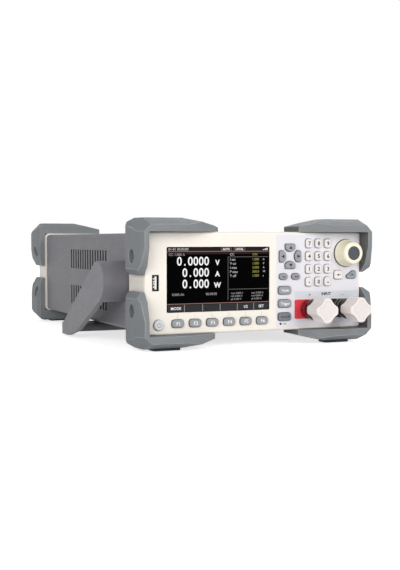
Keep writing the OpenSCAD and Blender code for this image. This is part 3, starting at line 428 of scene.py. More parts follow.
def make_piece(bm, name, body, material, other=None):
    """Turn a bmesh into a shaded piece that rides on a body."""
    mesh = bpy.data.meshes.new(name)
    bm.to_mesh(mesh)
    bm.free()
    mesh.materials.append(material)
    if other:
        mesh.materials.append(other)
    mesh.shade_smooth()
    mesh.set_sharp_from_angle(angle=SMOOTH_BELOW)
    piece = bpy.data.objects.new(name, mesh)
    bpy.context.scene.collection.objects.link(piece)
    even = piece.modifiers.new("Even normals", "WEIGHTED_NORMAL")
    even.keep_sharp = True
    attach(piece, body)
    return piece


def draw_piece(name, material, draw):
    """Make a piece of the housing from a function that draws it into a new bmesh."""
    bm = bmesh.new()
    draw(bm)
    make_piece(bm, name, HOUSING, material)


def dress(node, material, radius=0.0, segments=3, other=None, chosen=None):
    """Replace a node with a merged copy, softened by a radius, with another finish on chosen faces."""
    bm = merged_copy(node)
    if chosen:
        for face in bm.faces:
            face.material_index = int(chosen(face))
    if radius:
        soften(bm, radius, segments)
    piece = make_piece(bm, node + "_dressed", BODY_OF[node], material, other)
    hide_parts(node)


def paint(node, material):
    """Give a node's own solid a finish."""
    mesh = NODES[node].data
    mesh.materials.clear()
    mesh.materials.append(material)


def panel_point(x, z, y=PANEL_Y):
    """A point of the front panel from millimetres across and up from its middle."""
    return Vector((x * MM, y, PANEL_Z + z * MM))


def face_point(node):
    """Middle of a node's front face."""
    low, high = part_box(node)
    return Vector(((low.x + high.x) / 2, low.y, (low.z + high.z) / 2))


def add_letters(bm, text, height, at, thickness, align="CENTER", weight=0.012, width=1.0):
    """Add one line of raised letters that face the front, with their middle height at a point."""
    curve = bpy.data.curves.new("letters", "FONT")
    curve.body = text
    curve.align_x = align
    curve.size = height / CAP_HEIGHT
    curve.offset = weight * height
    curve.extrude = thickness / 2
    curve.resolution_u = 3
    carrier = bpy.data.objects.new("letters", curve)
    mesh = bpy.data.meshes.new_from_object(carrier)
    lower = Matrix.Translation((0, -height / 2, 0))
    spread_out = Matrix.Diagonal((width, 1, 1, 1))
    mesh.transform(Matrix.Translation(at) @ FACING_FRONT @ spread_out @ lower)
    bm.from_mesh(mesh)
    bpy.data.objects.remove(carrier)
    bpy.data.curves.remove(curve)
    bpy.data.meshes.remove(mesh)


def add_block(bm, low, high):
    """Add a block between two corners."""
    place = Matrix.Translation((low + high) / 2) @ Matrix.Diagonal((*(high - low), 1))
    bmesh.ops.create_cube(bm, size=1, matrix=place)


def add_bar(bm, sides, y, thickness):
    """Add a flat bar on the panel, its middle depth at y, from its four sides in millimetres."""
    left, bottom, right, top = sides
    low = panel_point(left, bottom, y - thickness / 2)
    high = panel_point(right, top, y + thickness / 2)
    add_block(bm, low, high)


def add_disc(bm, at, radius, thickness, sides=28, turn=0.0):
    """Add a round or many-sided disc that faces the front."""
    place = Matrix.Translation(at) @ FACING_FRONT @ Matrix.Rotation(radians(turn), 4, "Z")
    bmesh.ops.create_cone(
        bm, cap_ends=True, segments=sides, radius1=radius, radius2=radius, depth=thickness, matrix=place
    )


def add_arc(bm, at, radius, width, thickness, start, sweep, steps=24):
    """Add a flat arc of a ring that faces the front, angles in degrees from the right."""
    ray = Vector((cos(radians(start)), 0, sin(radians(start))))
    middle, out, back = at + ray * radius, ray * width / 2, Vector((0, thickness / 2, 0))
    corners = (middle - out - back, middle + out - back, middle + out + back, middle - out + back)
    face = bm.faces.new([bm.verts.new(corner) for corner in corners])
    bmesh.ops.spin(
        bm, geom=[face, *face.edges, *face.verts], cent=at, axis=(0, -1, 0), angle=radians(sweep),
        steps=steps,
    )
    bmesh.ops.recalc_face_normals(bm, faces=bm.faces)


def spin_profile(bm, at, profile, steps, closed=False):
    """Spin a profile of radii and depths round an axis that runs to the rear."""
    points = [bm.verts.new(at + Vector((radius, depth, 0))) for radius, depth in profile]
    ends = points[1:] + points[:1] if closed else points[1:]
    edges = [bm.edges.new(pair) for pair in zip(points, ends)]
    bmesh.ops.spin(
        bm, geom=points + edges, cent=at, axis=(0, 1, 0), angle=2 * pi, steps=steps, use_merge=True
    )
    bmesh.ops.remove_doubles(bm, verts=bm.verts, dist=MERGE)
    bmesh.ops.recalc_face_normals(bm, faces=bm.faces)


def add_button(bm, at, radius, height):
    """Add a button head with a round socket that faces the rear."""
    spin_profile(bm, at, [(radius * r, height * h) for r, h in BUTTON_PROFILE], steps=24)


def add_ring(bm, at, inner, outer, depth):
    """Add a flat-ended ring from a point towards the rear."""
    profile = ((inner, 0), (outer, 0), (outer, depth), (inner, depth))
    spin_profile(bm, at, profile, steps=40, closed=True)


# Operators, one for each group of like pieces


class LoadOperator:
    """Shared options."""

    bl_options = {"REGISTER", "UNDO"}


class DressHousing(LoadOperator, bpy.types.Operator):
    """Finish the bezel, the rear frame and the metal case"""

    bl_idname = "bench_load.housing"
    bl_label = "Housing"

    end_depth = 1 * MM
    outward_share = 0.5

    def execute(self, context):
        finish = context.scene.bench_load.finish
        cream = moulded("moulded_cream", finish.bezel, 0.46, 0.5, 0.04, drift=0.015)
        for node in ("front_bezel", "rear_frame"):
            dress(node, cream)
        self.dress_case(powder_coat(finish.case))
        return {"FINISHED"}

    def dress_case(self, coat):
        """The folded case, coated outside, with a dark tint inside and in its vents as painted shade."""
        low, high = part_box("case_sleeve")

        def inside(face):
            middle = face.calc_center_median()
            outward = Vector((middle.x, 0, middle.z - PANEL_Z))
            at_end = min(middle.y - low.y, high.y - middle.y) < self.end_depth
            return not at_end and face.normal.dot(outward) < self.outward_share * outward.length

        # Dark tint of the inner faces and the vents' walls: painted shade
        dark = moulded("case_inside", srgb(30, 30, 31), 0.7, 0.8, 0.04, drift=0.1)
        dress("case_sleeve", coat, other=dark, chosen=inside)


class DressFilm(LoadOperator, bpy.types.Operator):
    """Finish the printed film and the marks printed on the panel"""

    bl_idname = "bench_load.film"
    bl_label = "Printed film"

    # Places and sides in millimetres from the panel's middle
    band, input_at = (37, -15.9, 104.2, -9.6), (70.4, -12.3)
    poles = {"terminal_base_positive": "+", "terminal_base_negative": "-"}
    pole_z, pole_share = -12.9, 1.3
    lamp_at, lamp_radius, lamp_depth = (22.9, -38.4), 1.0 * MM, 0.6 * MM
    lamp_word_at, lamp_word = (25.4, -38.4), 1.5 * MM
    tick_half, tick_low, tick_high = 0.14, -30.4, -26.6
    ring_under, ring_beyond, ring_share = 1.2 * MM, 0.7 * MM, 1.2

    def execute(self, context):
        settings = context.scene.bench_load
        finish, self.thick, self.height = settings.finish, settings.print.ink, settings.print.panel
        self.face = FILM_Y - self.thick / 4
        paint("keypad_overlay", moulded("printed_film", finish.film, 0.38, 0.4, 0.02, drift=0.012))
        for name, slot, tint, draw in (
            ("film_band", "film", finish.film_band, self.draw_band),
            ("panel_signs", "film", finish.ink, self.draw_signs),
            # The dark ring round the encoder knob is a painted shadow
            ("dial_ring", "film", finish.dial_ring, self.draw_ring),
            ("soft_key_ticks", "bezel", srgb(196, 190, 184), self.draw_ticks),
        ):
            draw_piece(name, ink(name + "_ink", tint), draw)
        return {"FINISHED"}

    def draw_band(self, bm):
        add_bar(bm, self.band, self.face, self.thick)

    def draw_signs(self, bm):
        """Word and poles above the terminals, and the input's lamp."""
        above = self.face - self.thick
        at = panel_point(*self.input_at, above)
        add_letters(bm, "INPUT", self.height, at, self.thick, weight=0.055)
        for node, sign in self.poles.items():
            at = panel_point(face_point(node).x / MM, self.pole_z, above)
            add_letters(bm, sign, self.height * self.pole_share, at, self.thick)
        add_disc(bm, panel_point(*self.lamp_at, FILM_Y), self.lamp_radius, self.lamp_depth)
        at = panel_point(*self.lamp_word_at, self.face)
        add_letters(bm, "ON", self.lamp_word, at, self.thick, align="LEFT")

    def draw_ring(self, bm):
        """Dark ring on the film round the foot of the encoder knob, a painted shadow of the gap behind it.
        """
        low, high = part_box("encoder_knob")
        at, radius = face_point("encoder_knob"), (high.x - low.x) / 2
        at.y = FILM_Y - self.thick
        inner, outer = radius - self.ring_under, radius + self.ring_beyond
        add_ring(bm, at, inner, outer, self.ring_share * self.thick)

    def draw_ticks(self, bm):
        """Lines that lead from the display to the soft keys."""
        for node in SOFT_KEYS:
            x = face_point(node).x / MM
            sides = (x - self.tick_half, self.tick_low, x + self.tick_half, self.tick_high)
            add_bar(bm, sides, PANEL_Y, self.thick)


class DressDisplay(LoadOperator, bpy.types.Operator):
    """Finish the display window and draw its picture"""

    bl_idname = "bench_load.display"
    bl_label = "Display"

    # Display values of the picture's layers
    lights = {
        "white": (246, 246, 246), "pale": (186, 186, 186), "grey": (150, 150, 150),
        "line": (104, 104, 104), "green": (146, 142, 76), "rule": (146, 108, 106),
        "cell": (44, 44, 46), "glow": (32, 5, 7), "tag": (132, 132, 132), "bar": (10, 10, 12),
    }
    # Layers and sides of the bars, in millimetres from the panel's middle
    back_bars = (
        ("bar", (-86.4, 27.5, 11.0, 30.4)), ("rule", (-86.4, 26.7, 11.0, 27.3)),
        ("glow", (-86.4, 24.6, 11.0, 26.6)), ("rule", (-86.4, -18.2, 11.0, -17.6)),
    )
    front_bars = (
        ("white", (5.2, 28.0, 6.3, 28.7)), ("white", (6.9, 28.0, 8.0, 29.3)),
        ("white", (8.6, 28.0, 9.7, 29.9)), ("line", (-29.4, -15.8, -29.0, 22.3)),
        ("line", (-29.0, 21.9, 10.4, 22.3)), ("line", (-28.2, -6.4, 9.8, -6.0)),
    )
    tags = ((-36, -26, "AUTO"), (-23.6, -12.6, "LOCAL"))
    tag_low, tag_high, tag_line, tag_word = 27.7, 30.1, 0.3, 1.6 * MM
    cell_edges = (-86.4, -70.6, -53.5, -36.8, -20.1, -4.0, 11.0)
    cell_low, cell_high, cell_gap, cell_word = -24.7, -18.7, 0.3, 2.3 * MM
    cell_words = {0: "MODE", 4: "1/2", 5: "SET"}
    readings = (("0.0000", "V"), ("0.000", "A"), ("0.000", "W"))
    reading_right, reading_z, reading_step, digit_pitch = -47.2, 18.7, 9.75, 5.1
    unit_x, unit_drop, unit_height = -39.4, 1.4, 4.3 * MM
    # Layers, texts and places of the small words
    words = (
        ("pale", "01-01 00:00:00", -85.4, 29.0), ("grey", "CC 1.000 A", -85.2, 24.4),
        ("grey", "0.000 Ah", -82.1, -9.8), ("grey", "00:00:00", -50.5, -9.8),
        ("pale", "CC", -27.4, 24.3), ("green", "ON", -5.4, 24.3),
    )
    word_height = 2.1 * MM
    rows = (
        ("I set", "1.000", "A"), ("V on", "1.000", "V"), ("I max", "3.000", "A"),
        ("P max", "300.0", "W"), ("T off", "1.000", "s"),
    )
    # Layer, place and share of the words' height for each column of the rows
    columns = (("pale", -27.4, 1.0), ("green", -5.6, 1.0), ("pale", 5.0, 0.8))
    rows_z, rows_step = 19.9, 3.6
    limit_columns, limit_signs = ((-26.4, "V"), (-6.4, "A")), ("max", "min", "pk")
    limits_z, limits_step, limit_height = -9.6, 2.6, 1.6 * MM

    def execute(self, context):
        settings = context.scene.bench_load
        self.ink = settings.print.ink
        self.back = WINDOW_Y - self.ink / 4
        self.front = self.back - self.ink
        self.layers = {name: bmesh.new() for name in self.lights}
        paint("display_lens", screen_glass(settings.finish.screen))
        self.draw_frame()
        self.draw_cells()
        self.draw_readings(settings.print.reading)
        self.draw_lists()
        for name, bm in self.layers.items():
            light = lit("picture_" + name, srgb(*self.lights[name]))
            make_piece(bm, "picture_" + name, HOUSING, light)
        return {"FINISHED"}

    def bar(self, layer, sides, y):
        add_bar(self.layers[layer], sides, y, self.ink)

    def write(self, layer, text, height, x, z, align="LEFT", **style):
        at = panel_point(x, z, self.front)
        add_letters(self.layers[layer], text, height, at, self.ink, align, **style)

    def draw_frame(self):
        """Status bar with its tags, rules and dividers."""
        for layer, sides in self.back_bars:
            self.bar(layer, sides, self.back)
        for layer, sides in self.front_bars:
            self.bar(layer, sides, self.front)
        low, high, line = self.tag_low, self.tag_high, self.tag_line
        for left, right, word in self.tags:
            for sides in ((left, low, right, low + line), (left, high - line, right, high),
                          (left, low, left + line, high), (right - line, low, right, high)):
                self.bar("tag", sides, self.front)
            middle = ((left + right) / 2, (low + high) / 2)
            self.write("white", word, self.tag_word, *middle, "CENTER", weight=0.04)

    def draw_cells(self):
        """Row of cells above the soft keys."""
        low, high, gap = self.cell_low, self.cell_high, self.cell_gap
        for left, right in zip(self.cell_edges, self.cell_edges[1:]):
            self.bar("cell", (left + gap, low, right - gap, high), self.back)
        for x in self.cell_edges[1:-1]:
            self.bar("grey", (x - gap, low, x + gap, high), self.back)
        for i, word in self.cell_words.items():
            middle = ((self.cell_edges[i] + self.cell_edges[i + 1]) / 2, (low + high) / 2)
            self.write("white", word, self.cell_word, *middle, "CENTER", weight=0.02)

    def draw_readings(self, height):
        """Large readings in even cells, with their units."""
        for row, (value, unit) in enumerate(self.readings):
            z = self.reading_z - row * self.reading_step
            for place, sign in enumerate(reversed(value)):
                x = self.reading_right - (place + 0.5) * self.digit_pitch
                self.write("white", sign, height, x, z, "CENTER", weight=0.022, width=0.92)
            at = (self.unit_x, z - self.unit_drop)
            self.write("white", unit, self.unit_height, *at, "CENTER", weight=0.05, width=0.95)

    def draw_lists(self):
        """Small rows of settings, limits and counters."""
        for layer, text, x, z in self.words:
            self.write(layer, text, self.word_height, x, z)
        for row, texts in enumerate(self.rows):
            z = self.rows_z - row * self.rows_step
            for (layer, x, share), text in zip(self.columns, texts):
                self.write(layer, text, self.word_height * share, x, z)
        for x, unit in self.limit_columns:
            for row, sign in enumerate(self.limit_signs):
                z = self.limits_z - row * self.limits_step
                self.write("grey", f"{sign} 0.000 {unit}", self.limit_height, x, z)


class DressKeys(LoadOperator, bpy.types.Operator):
    """Finish the keys and print their signs"""

    bl_idname = "bench_load.keys"
    bl_label = "Keys"

    # Roughness and drift of tone by slot
    plastics = {
        "key_grey": (0.5, 0.03), "key_cream": (0.45, 0.015), "key_slate": (0.5, 0.03),
        "key_blue": (0.5, 0.03),
    }
    # Sides at half the tint: painted shade
    side_tilt, skirt_share = 0.4, 0.5
    # Boldness of the signs as a share of their height
    weights = {"soft": 0.006, "word": 0.02, "small": 0.04, "digit": 0.045, "minus": 0.04}
    arrow_radius = 2.0 * MM
    point_radius, point_drop, point_sides = 0.6 * MM, 0.4 * MM, 12
    erase_head, erase_shift, erase_half, erase_length = 1.3 * MM, 0.9 * MM, 0.28 * MM, 3 * MM

    def execute(self, context):
        settings = context.scene.bench_load
        finish, sizes = settings.finish, settings.print
        self.thick = sizes.ink
        for node, slot in SLOT_OF.items():
            if slot in self.plastics:
                self.dress_key(node, slot, getattr(finish, slot), settings.edge.key)
        dark, pale = ink("key_ink_dark", finish.ink), ink("key_ink_pale", srgb(250, 250, 250))
        for kind, material, texts in (
            ("soft", pale, SOFT_KEYS), ("word", pale, PALE_WORDS), ("small", dark, OVAL_KEYS),
            ("digit", dark, DIGIT_KEYS), ("word", dark, DARK_WORDS), ("minus", dark, {"key_minus": "-"}),
        ):
            style = {"height": getattr(sizes, kind), "weight": self.weights[kind]}
            for node, text in texts.items():
                self.print_sign(node, material, add_letters, text=text, **style)
        self.print_sign("key_point", dark, self.draw_point)
        self.print_sign("key_erase", dark, self.draw_erase)
        for node, turn in ARROW_KEYS.items():
            self.print_sign(node, dark, add_disc, radius=self.arrow_radius, sides=3, turn=turn)
        return {"FINISHED"}

    def dress_key(self, node, slot, tint, radius):
        """A key with a satin face and rougher sides darkened as painted shade."""
        roughness, drift = self.plastics[slot]
        face = moulded(slot + "_face", tint, roughness, 0.3, 0.02, drift)
        # Darker sides: painted shade
        shaded_sides = moulded(slot + "_skirt", [c * self.skirt_share for c in tint], 0.65, 0.3, 0.03)
        dress(node, face, radius, 2, shaded_sides, lambda f: abs(f.normal.y) < self.side_tilt)

    def print_sign(self, node, material, draw, **values):
        """Print a sign in the middle of a key's face."""
        bm = bmesh.new()
        at = face_point(node) - Vector((0, self.thick / 4, 0))
        draw(bm, at=at, thickness=self.thick, **values)
        make_piece(bm, node + "_sign", BODY_OF[node], material)

    def draw_point(self, bm, at, thickness):
        """A decimal point, a little below the middle."""
        at.z -= self.point_drop
        add_disc(bm, at, self.point_radius, thickness, self.point_sides)

    def draw_erase(self, bm, at, thickness):
        """An arrow that points back."""
        half = Vector((0, thickness / 2, self.erase_half))
        head = at - Vector((self.erase_shift, 0, 0))
        add_disc(bm, head, self.erase_head, thickness, sides=3, turn=90)
        add_block(bm, head - half, head + half + Vector((self.erase_length, 0, 0)))


class DressPowerButton(LoadOperator, bpy.types.Operator):
    """Finish the round power button and its sign"""

    bl_idname = "bench_load.power_button"
    bl_label = "Power button"

    arc_radius, arc_width, arc_start, arc_sweep = 1.7 * MM, 0.45 * MM, 125, 290
    stroke_half, stroke_low, stroke_high = 0.22 * MM, 0.5 * MM, 2.3 * MM

    def execute(self, context):
        settings = context.scene.bench_load
        plastic = moulded("power_plastic", settings.finish.key_power, 0.35, 0.3, 0.02)
        dress("power_button", plastic, settings.edge.key, segments=2)
        sign, thick = bmesh.new(), settings.print.ink
        at = face_point("power_button") - Vector((0, thick / 4, 0))
        add_arc(sign, at, self.arc_radius, self.arc_width, thick, self.arc_start, self.arc_sweep)
        low = at + Vector((-self.stroke_half, -thick / 2, self.stroke_low))
        high = at + Vector((self.stroke_half, thick / 2, self.stroke_high))
        add_block(sign, low, high)
        grey = ink("power_ink", srgb(120, 132, 138))
        make_piece(sign, "power_sign", "power_button", grey)
        return {"FINISHED"}


class DressDial(LoadOperator, bpy.types.Operator):
    """Finish the encoder knob and its inset"""

    bl_idname = "bench_load.dial"
    bl_label = "Encoder knob"

    inset_edge = 0.12 * MM

    def execute(self, context):
        finish = context.scene.bench_load.finish
        dial = moulded("dial_plastic", finish.dial, 0.36, 0.5, 0.03, drift=0.02)
        inset = moulded("inset_plastic", finish.inset, 0.55, 0.3, 0.04, drift=0.05)
        dress("encoder_knob", dial)
        dress("knob_inset", inset, self.inset_edge)
        return {"FINISHED"}


class DressTerminals(LoadOperator, bpy.types.Operator):
    """Finish the terminal bases, studs and clamp knobs"""

    bl_idname = "bench_load.terminals"
    bl_label = "Terminals"

    boss_reach = 3.4 * MM
    ring_gap, ring_inner, ring_outer, ring_depth = 0.4 * MM, 7.05 * MM, 9.8 * MM, 3.0 * MM
    ring_edge, stud_edge = 0.25 * MM, 0.2 * MM
    recess_low, recess_high = 0.3 * MM, 2 * MM

    def execute(self, context):
        settings = context.scene.bench_load
        finish, edge = settings.finish, settings.edge
        # The positive boss's dark red is painted shadow, and the rims' pale tints are painted highlights
        bases = (
            ("positive", "red", finish.plate_red, finish.boss_red, finish.boss_red_rim, 0.05),
            ("negative", "black", finish.plate_black, finish.plate_black, finish.boss_black_rim, 0.1),
        )
        for pole, name, plate_tint, boss_tint, rim_highlight, drift in bases:
            plate = moulded(name + "_base_plastic", plate_tint, 0.34, 0.6, 0.02, drift)
            boss = moulded(name + "_boss_plastic", boss_tint, 0.3, 0.6, 0.02, drift, wear_and_highlight=rim_highlight)
            self.dress_base("terminal_base_" + pole, plate, boss, edge.base)
        self.ring_collars(plate)
        # Dark tone of the studs: painted shade behind the clamp knobs
        brass = metal("blackened_brass", srgb(74, 66, 54), roughness=0.36, stretch=(1, 0.05, 1))
        dress("terminal_studs", brass, self.stud_edge, segments=2)
        white = moulded("clamp_plastic", finish.clamp, 0.4, 0.5, 0.03, drift=0.015)
        matt = moulded("clamp_recess", finish.clamp_recess, 0.6, 0.4, 0.05, drift=0.02)
        for node in CLAMP_KNOBS:
            self.dress_clamp(node, white, matt, edge.clamp)
        return {"FINISHED"}

    def dress_base(self, node, plate, boss, radius):
        """A terminal base with a round boss of its own tone, darker on the positive base as painted
        shadow, with painted highlights along its rims.
        """
        boss_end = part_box(node)[0].y + self.boss_reach
        dress(node, plate, radius, other=boss, chosen=lambda f: f.calc_center_median().y < boss_end)

    def ring_collars(self, black):
        """Black rings on the studs' collars, close behind the knobs."""
        bm = bmesh.new()
        for node in CLAMP_KNOBS:
            at = face_point(node)
            at.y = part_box(node)[1].y + self.ring_gap
            add_ring(bm, at, self.ring_inner, self.ring_outer, self.ring_depth)
        soften(bm, self.ring_edge, segments=2)
        make_piece(bm, "collar_rings", HOUSING, black)

    def dress_clamp(self, node, white, matt, radius):
        """A clamp knob with a matt recess in its polished face."""
        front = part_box(node)[0].y

        def sunk(face):
            depth = face.calc_center_median().y - front
            return face.normal.y < -SQUARE_SHARE and self.recess_low < depth < self.recess_high

        dress(node, white, radius, other=matt, chosen=sunk)


class DressSockets(LoadOperator, bpy.types.Operator):
    """Finish the front data socket, the mains inlet and the rear sockets"""

    bl_idname = "bench_load.sockets"
    bl_label = "Sockets"

    # Data socket, in millimetres from the middle of its mouth
    tongue_x, tongue_y, tongue_half, tongue_edge = (0.05, 1.95), 1.6, 5.65, 0.25 * MM
    contact_x, contact_y, contact_half = (-1.3, 0.1), (2, 3), 0.5
    contacts_z = (-3.5, -1, 1, 3.5)
    shell_wall, core_y, rear_gap = 0.42, 2.2, 2
    # Rear sockets, in millimetres from the panel's middle; heads are radius and height
    inlet_at, blade_step, blade_half = (62, 14), (7, 2), (1.1, 2.1)
    serial_at, serial_size, serial_rim, serial_edge, insert_edge = (80, -24), (18, 10), 3, 0.8, 0.1
    pin_rows, pin_pitch, pin_head, pin_lift = ((5, 1.42), (4, -1.42)), 2.77, (0.5, 0.3), 0.1
    sense_at, sense_size, sense_edge, sense_count, sense_head = (48, -24), (25, 9), 0.3, 4, (2.2, 0.5)
    proud = 0.06

    def execute(self, context):
        plated, black = plated_steel(), black_moulding()
        # Dark shell: painted shade in the socket
        paint("usb_port", metal("black_nickel", srgb(44, 42, 40), 0.38, stretch=(1, 1, 0.05)))
        self.fill_data_socket(black)
        self.dress_inlet(plated, black, context.scene.bench_load.edge.inlet)
        self.cover_serial_socket(plated, black)
        self.cover_sense_terminals(plated, black)
        return {"FINISHED"}

    def fill_data_socket(self, black):
        """White tongue and its contacts in front of a dark block inside the socket's shell, a painted
        shade.
        """
        low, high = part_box("usb_port")
        mouth, size = face_point("usb_port"), (high - low) / MM
        back = size.y - self.rear_gap
        half_x, half_z = size.x / 2 - self.shell_wall, size.z / 2 - self.shell_wall

        def block(bm, *ranges):
            add_block(bm, *(mouth + Vector(corner) * MM for corner in zip(*ranges)))

        tongue = bmesh.new()
        block(tongue, self.tongue_x, (self.tongue_y, back), (-self.tongue_half, self.tongue_half))
        soften(tongue, self.tongue_edge, segments=2)
        white = moulded("socket_tongue", srgb(238, 238, 234), 0.5, 0.4, 0.02)
        make_piece(tongue, "usb_tongue", HOUSING, white)
        contacts = bmesh.new()
        for z in self.contacts_z:
            block(contacts, self.contact_x, self.contact_y, (z - self.contact_half, z + self.contact_half))
        make_piece(contacts, "usb_contacts", HOUSING, metal("contact_tin", srgb(214, 212, 206)))
        # Dark block that fills the socket behind the tongue: painted shade
        shade_core = bmesh.new()
        block(shade_core, (-half_x, half_x), (self.core_y, back), (-half_z, half_z))
        make_piece(shade_core, "usb_core", HOUSING, black)

    def dress_inlet(self, plated, black, radius):
        """The mains inlet's black moulding with bare metal blades."""
        bm = merged_copy("power_inlet")
        soften(bm, radius)
        half_x, half_z = (half * MM for half in self.blade_half)
        for step in (-1, 0, 1):
            x = self.inlet_at[0] + step * self.blade_step[0]
            z = self.inlet_at[1] + (1 - 2 * abs(step)) * self.blade_step[1]
            for face in bm.faces:
                reach = [vert.co - panel_point(x, z) for vert in face.verts]
                if all(abs(r.x) < half_x and abs(r.z) < half_z for r in reach):
                    face.material_index = 1
        piece = make_piece(bm, "power_inlet_dressed", HOUSING, black, plated)
        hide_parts("power_inlet")

    def cover_serial_socket(self, plated, black):
        """Shell, insert and pins of the serial socket, over the board's own block."""
        at, size, proud = self.serial_at, self.serial_size, self.proud
        self.cover("serial_shell", "plated", plated, at, size, proud, self.serial_edge)
        size = [side - self.serial_rim for side in size]
        self.cover("serial_insert", "black_plastic", black, at, size, 2 * proud, self.insert_edge, 2)
        pins = bmesh.new()
        for count, rise in self.pin_rows:
            self.add_row(pins, at[0], at[1] + rise, count, self.pin_pitch, self.pin_head, self.pin_lift)
        make_piece(pins, "serial_pins", HOUSING, metal("pin_brass", srgb(196, 164, 96)))

    def cover_sense_terminals(self, plated, black):
        """Block and screws of the sense terminals, over the board's own block."""
        at, size, count = self.sense_at, self.sense_size, self.sense_count
        self.cover("sense_block", "black_plastic", black, at, size, self.proud, self.sense_edge)
        screws = bmesh.new()
        self.add_row(screws, *at, count, size[0] / count, self.sense_head)
        make_piece(screws, "sense_screws", HOUSING, plated)

    @staticmethod
    def add_row(bm, x, z, count, pitch, head, lift=0.0):
        """Add a row of button heads on the rear sockets, with its middle at a place."""
        radius, height = (size * MM for size in head)
        for i in range(count):
            at = panel_point(x + (i - (count - 1) / 2) * pitch, z, SOCKET_Y + lift * MM)
            add_button(bm, at, radius, height)

    @staticmethod
    def cover(name, slot, material, at, size, proud, radius, segments=3):
        """A block round one of the board's sockets, where it stands out of the rear panel."""
        half_x, half_z = (side / 2 + proud for side in size)
        low = panel_point(at[0] - half_x, at[1] - half_z, REAR_Y)
        high = panel_point(at[0] + half_x, at[1] + half_z, SOCKET_Y + proud * MM)
        bm = bmesh.new()
        add_block(bm, low, high)
        soften(bm, radius * MM, segments)
        make_piece(bm, name, HOUSING, material)


class DressBumpers(LoadOperator, bpy.types.Operator):
    """Finish the corner bumpers, their screws and the feet"""

    bl_idname = "bench_load.bumpers"
    bl_label = "Bumpers and feet"

    def execute(self, context):
        settings = context.scene.bench_load
        finish, edge = settings.finish, settings.edge
        # Paler edges: rubbed wear and painted highlight
        wear_and_highlight = finish.bumper_worn
        rubber = moulded("bumper_rubber", finish.bumper, 0.62, 0.7, 0.08, 0.04, 0.3, wear_and_highlight)
        # Faces turned to the case get a darker tint: painted shade
        inside = moulded("bumper_inside", finish.bumper_inner, 0.7, 0.7, 0.08, 0.06, 0.25, wear_and_highlight)
        for node in ("front_bumpers", "rear_bumpers"):
            dress(node, rubber, edge.bumper, other=inside, chosen=self.faces_case)
        # Dark screw heads: painted shade in the screw holes
        steel = metal("screw_steel", srgb(46, 46, 46), roughness=0.35, stretch=(0.05, 1, 1))
        paint("bumper_screws", steel)
        black = moulded("foot_rubber", srgb(30, 30, 31), 0.7, 0.6, 0.06)
        dress("rubber_feet", black, edge.foot)
        return {"FINISHED"}

    @staticmethod
    def faces_case(face):
        """Whether a bumper's face is turned to the side of the case."""
        side = face.calc_center_median().x
        return abs(face.normal.x) > SQUARE_SHARE and face.normal.x * side < 0


class DressHandle(LoadOperator, bpy.types.Operator):
    """Finish the swinging handle and its pivot posts"""

    bl_idname = "bench_load.handle"
    bl_label = "Handle"

    def execute(self, context):
        settings = context.scene.bench_load
        plastic = moulded("handle_plastic", settings.finish.handle, 0.52, 0.6, 0.06)
        dress("handle", plastic, settings.edge.handle, segments=4)
        paint("handle_pivots", plated_steel())
        return {"FINISHED"}


class DressRear(LoadOperator, bpy.types.Operator):
    """Finish the rear panel, the fan and the pieces inside"""

    bl_idname = "bench_load.rear"
    bl_label = "Rear and inside"

    board_top = 24.9 * MM
    # Node, radius of the heads, and their insets across and up, in millimetres
    screws = (("rear_panel", 3.0, 9, 8.9), ("fan_frame", 3.2, 5, 5))
    head_height = 1.8 * MM

    def execute(self, context):
        zinc = metal("zinc_sheet", srgb(186, 187, 188), roughness=0.42, stretch=(1, 1, 0.04))
        black, plated = black_moulding(), plated_steel()
        board = circuit(srgb(38, 92, 56), srgb(46, 47, 50), self.board_top)
        fins = metal("anodised_fins", srgb(52, 53, 56), roughness=0.42, stretch=(1, 0.04, 1))
        dress("rear_panel", zinc)
        for node in ("fan_frame", "fan_rotor", "rotary_encoder", "lcd_module"):
            paint(node, black)
        for node in ("main_board", "front_board"):
            paint(node, board)
        paint("chassis_tray", zinc)
        paint("heat_sink", fins)
        paint("encoder_shaft", plated)
        draw_piece("rear_screws", plated, self.drive_screws)
        return {"FINISHED"}

    def drive_screws(self, bm):
        """Button-head screws that hold the rear panel and the fan."""
        for node, radius, inset_x, inset_z in self.screws:
            low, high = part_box(node)
            for x in (low.x + inset_x * MM, high.x - inset_x * MM):
                for z in (low.z + inset_z * MM, high.z - inset_z * MM):
                    add_button(bm, Vector((x, REAR_Y, z)), radius * MM, self.head_height)


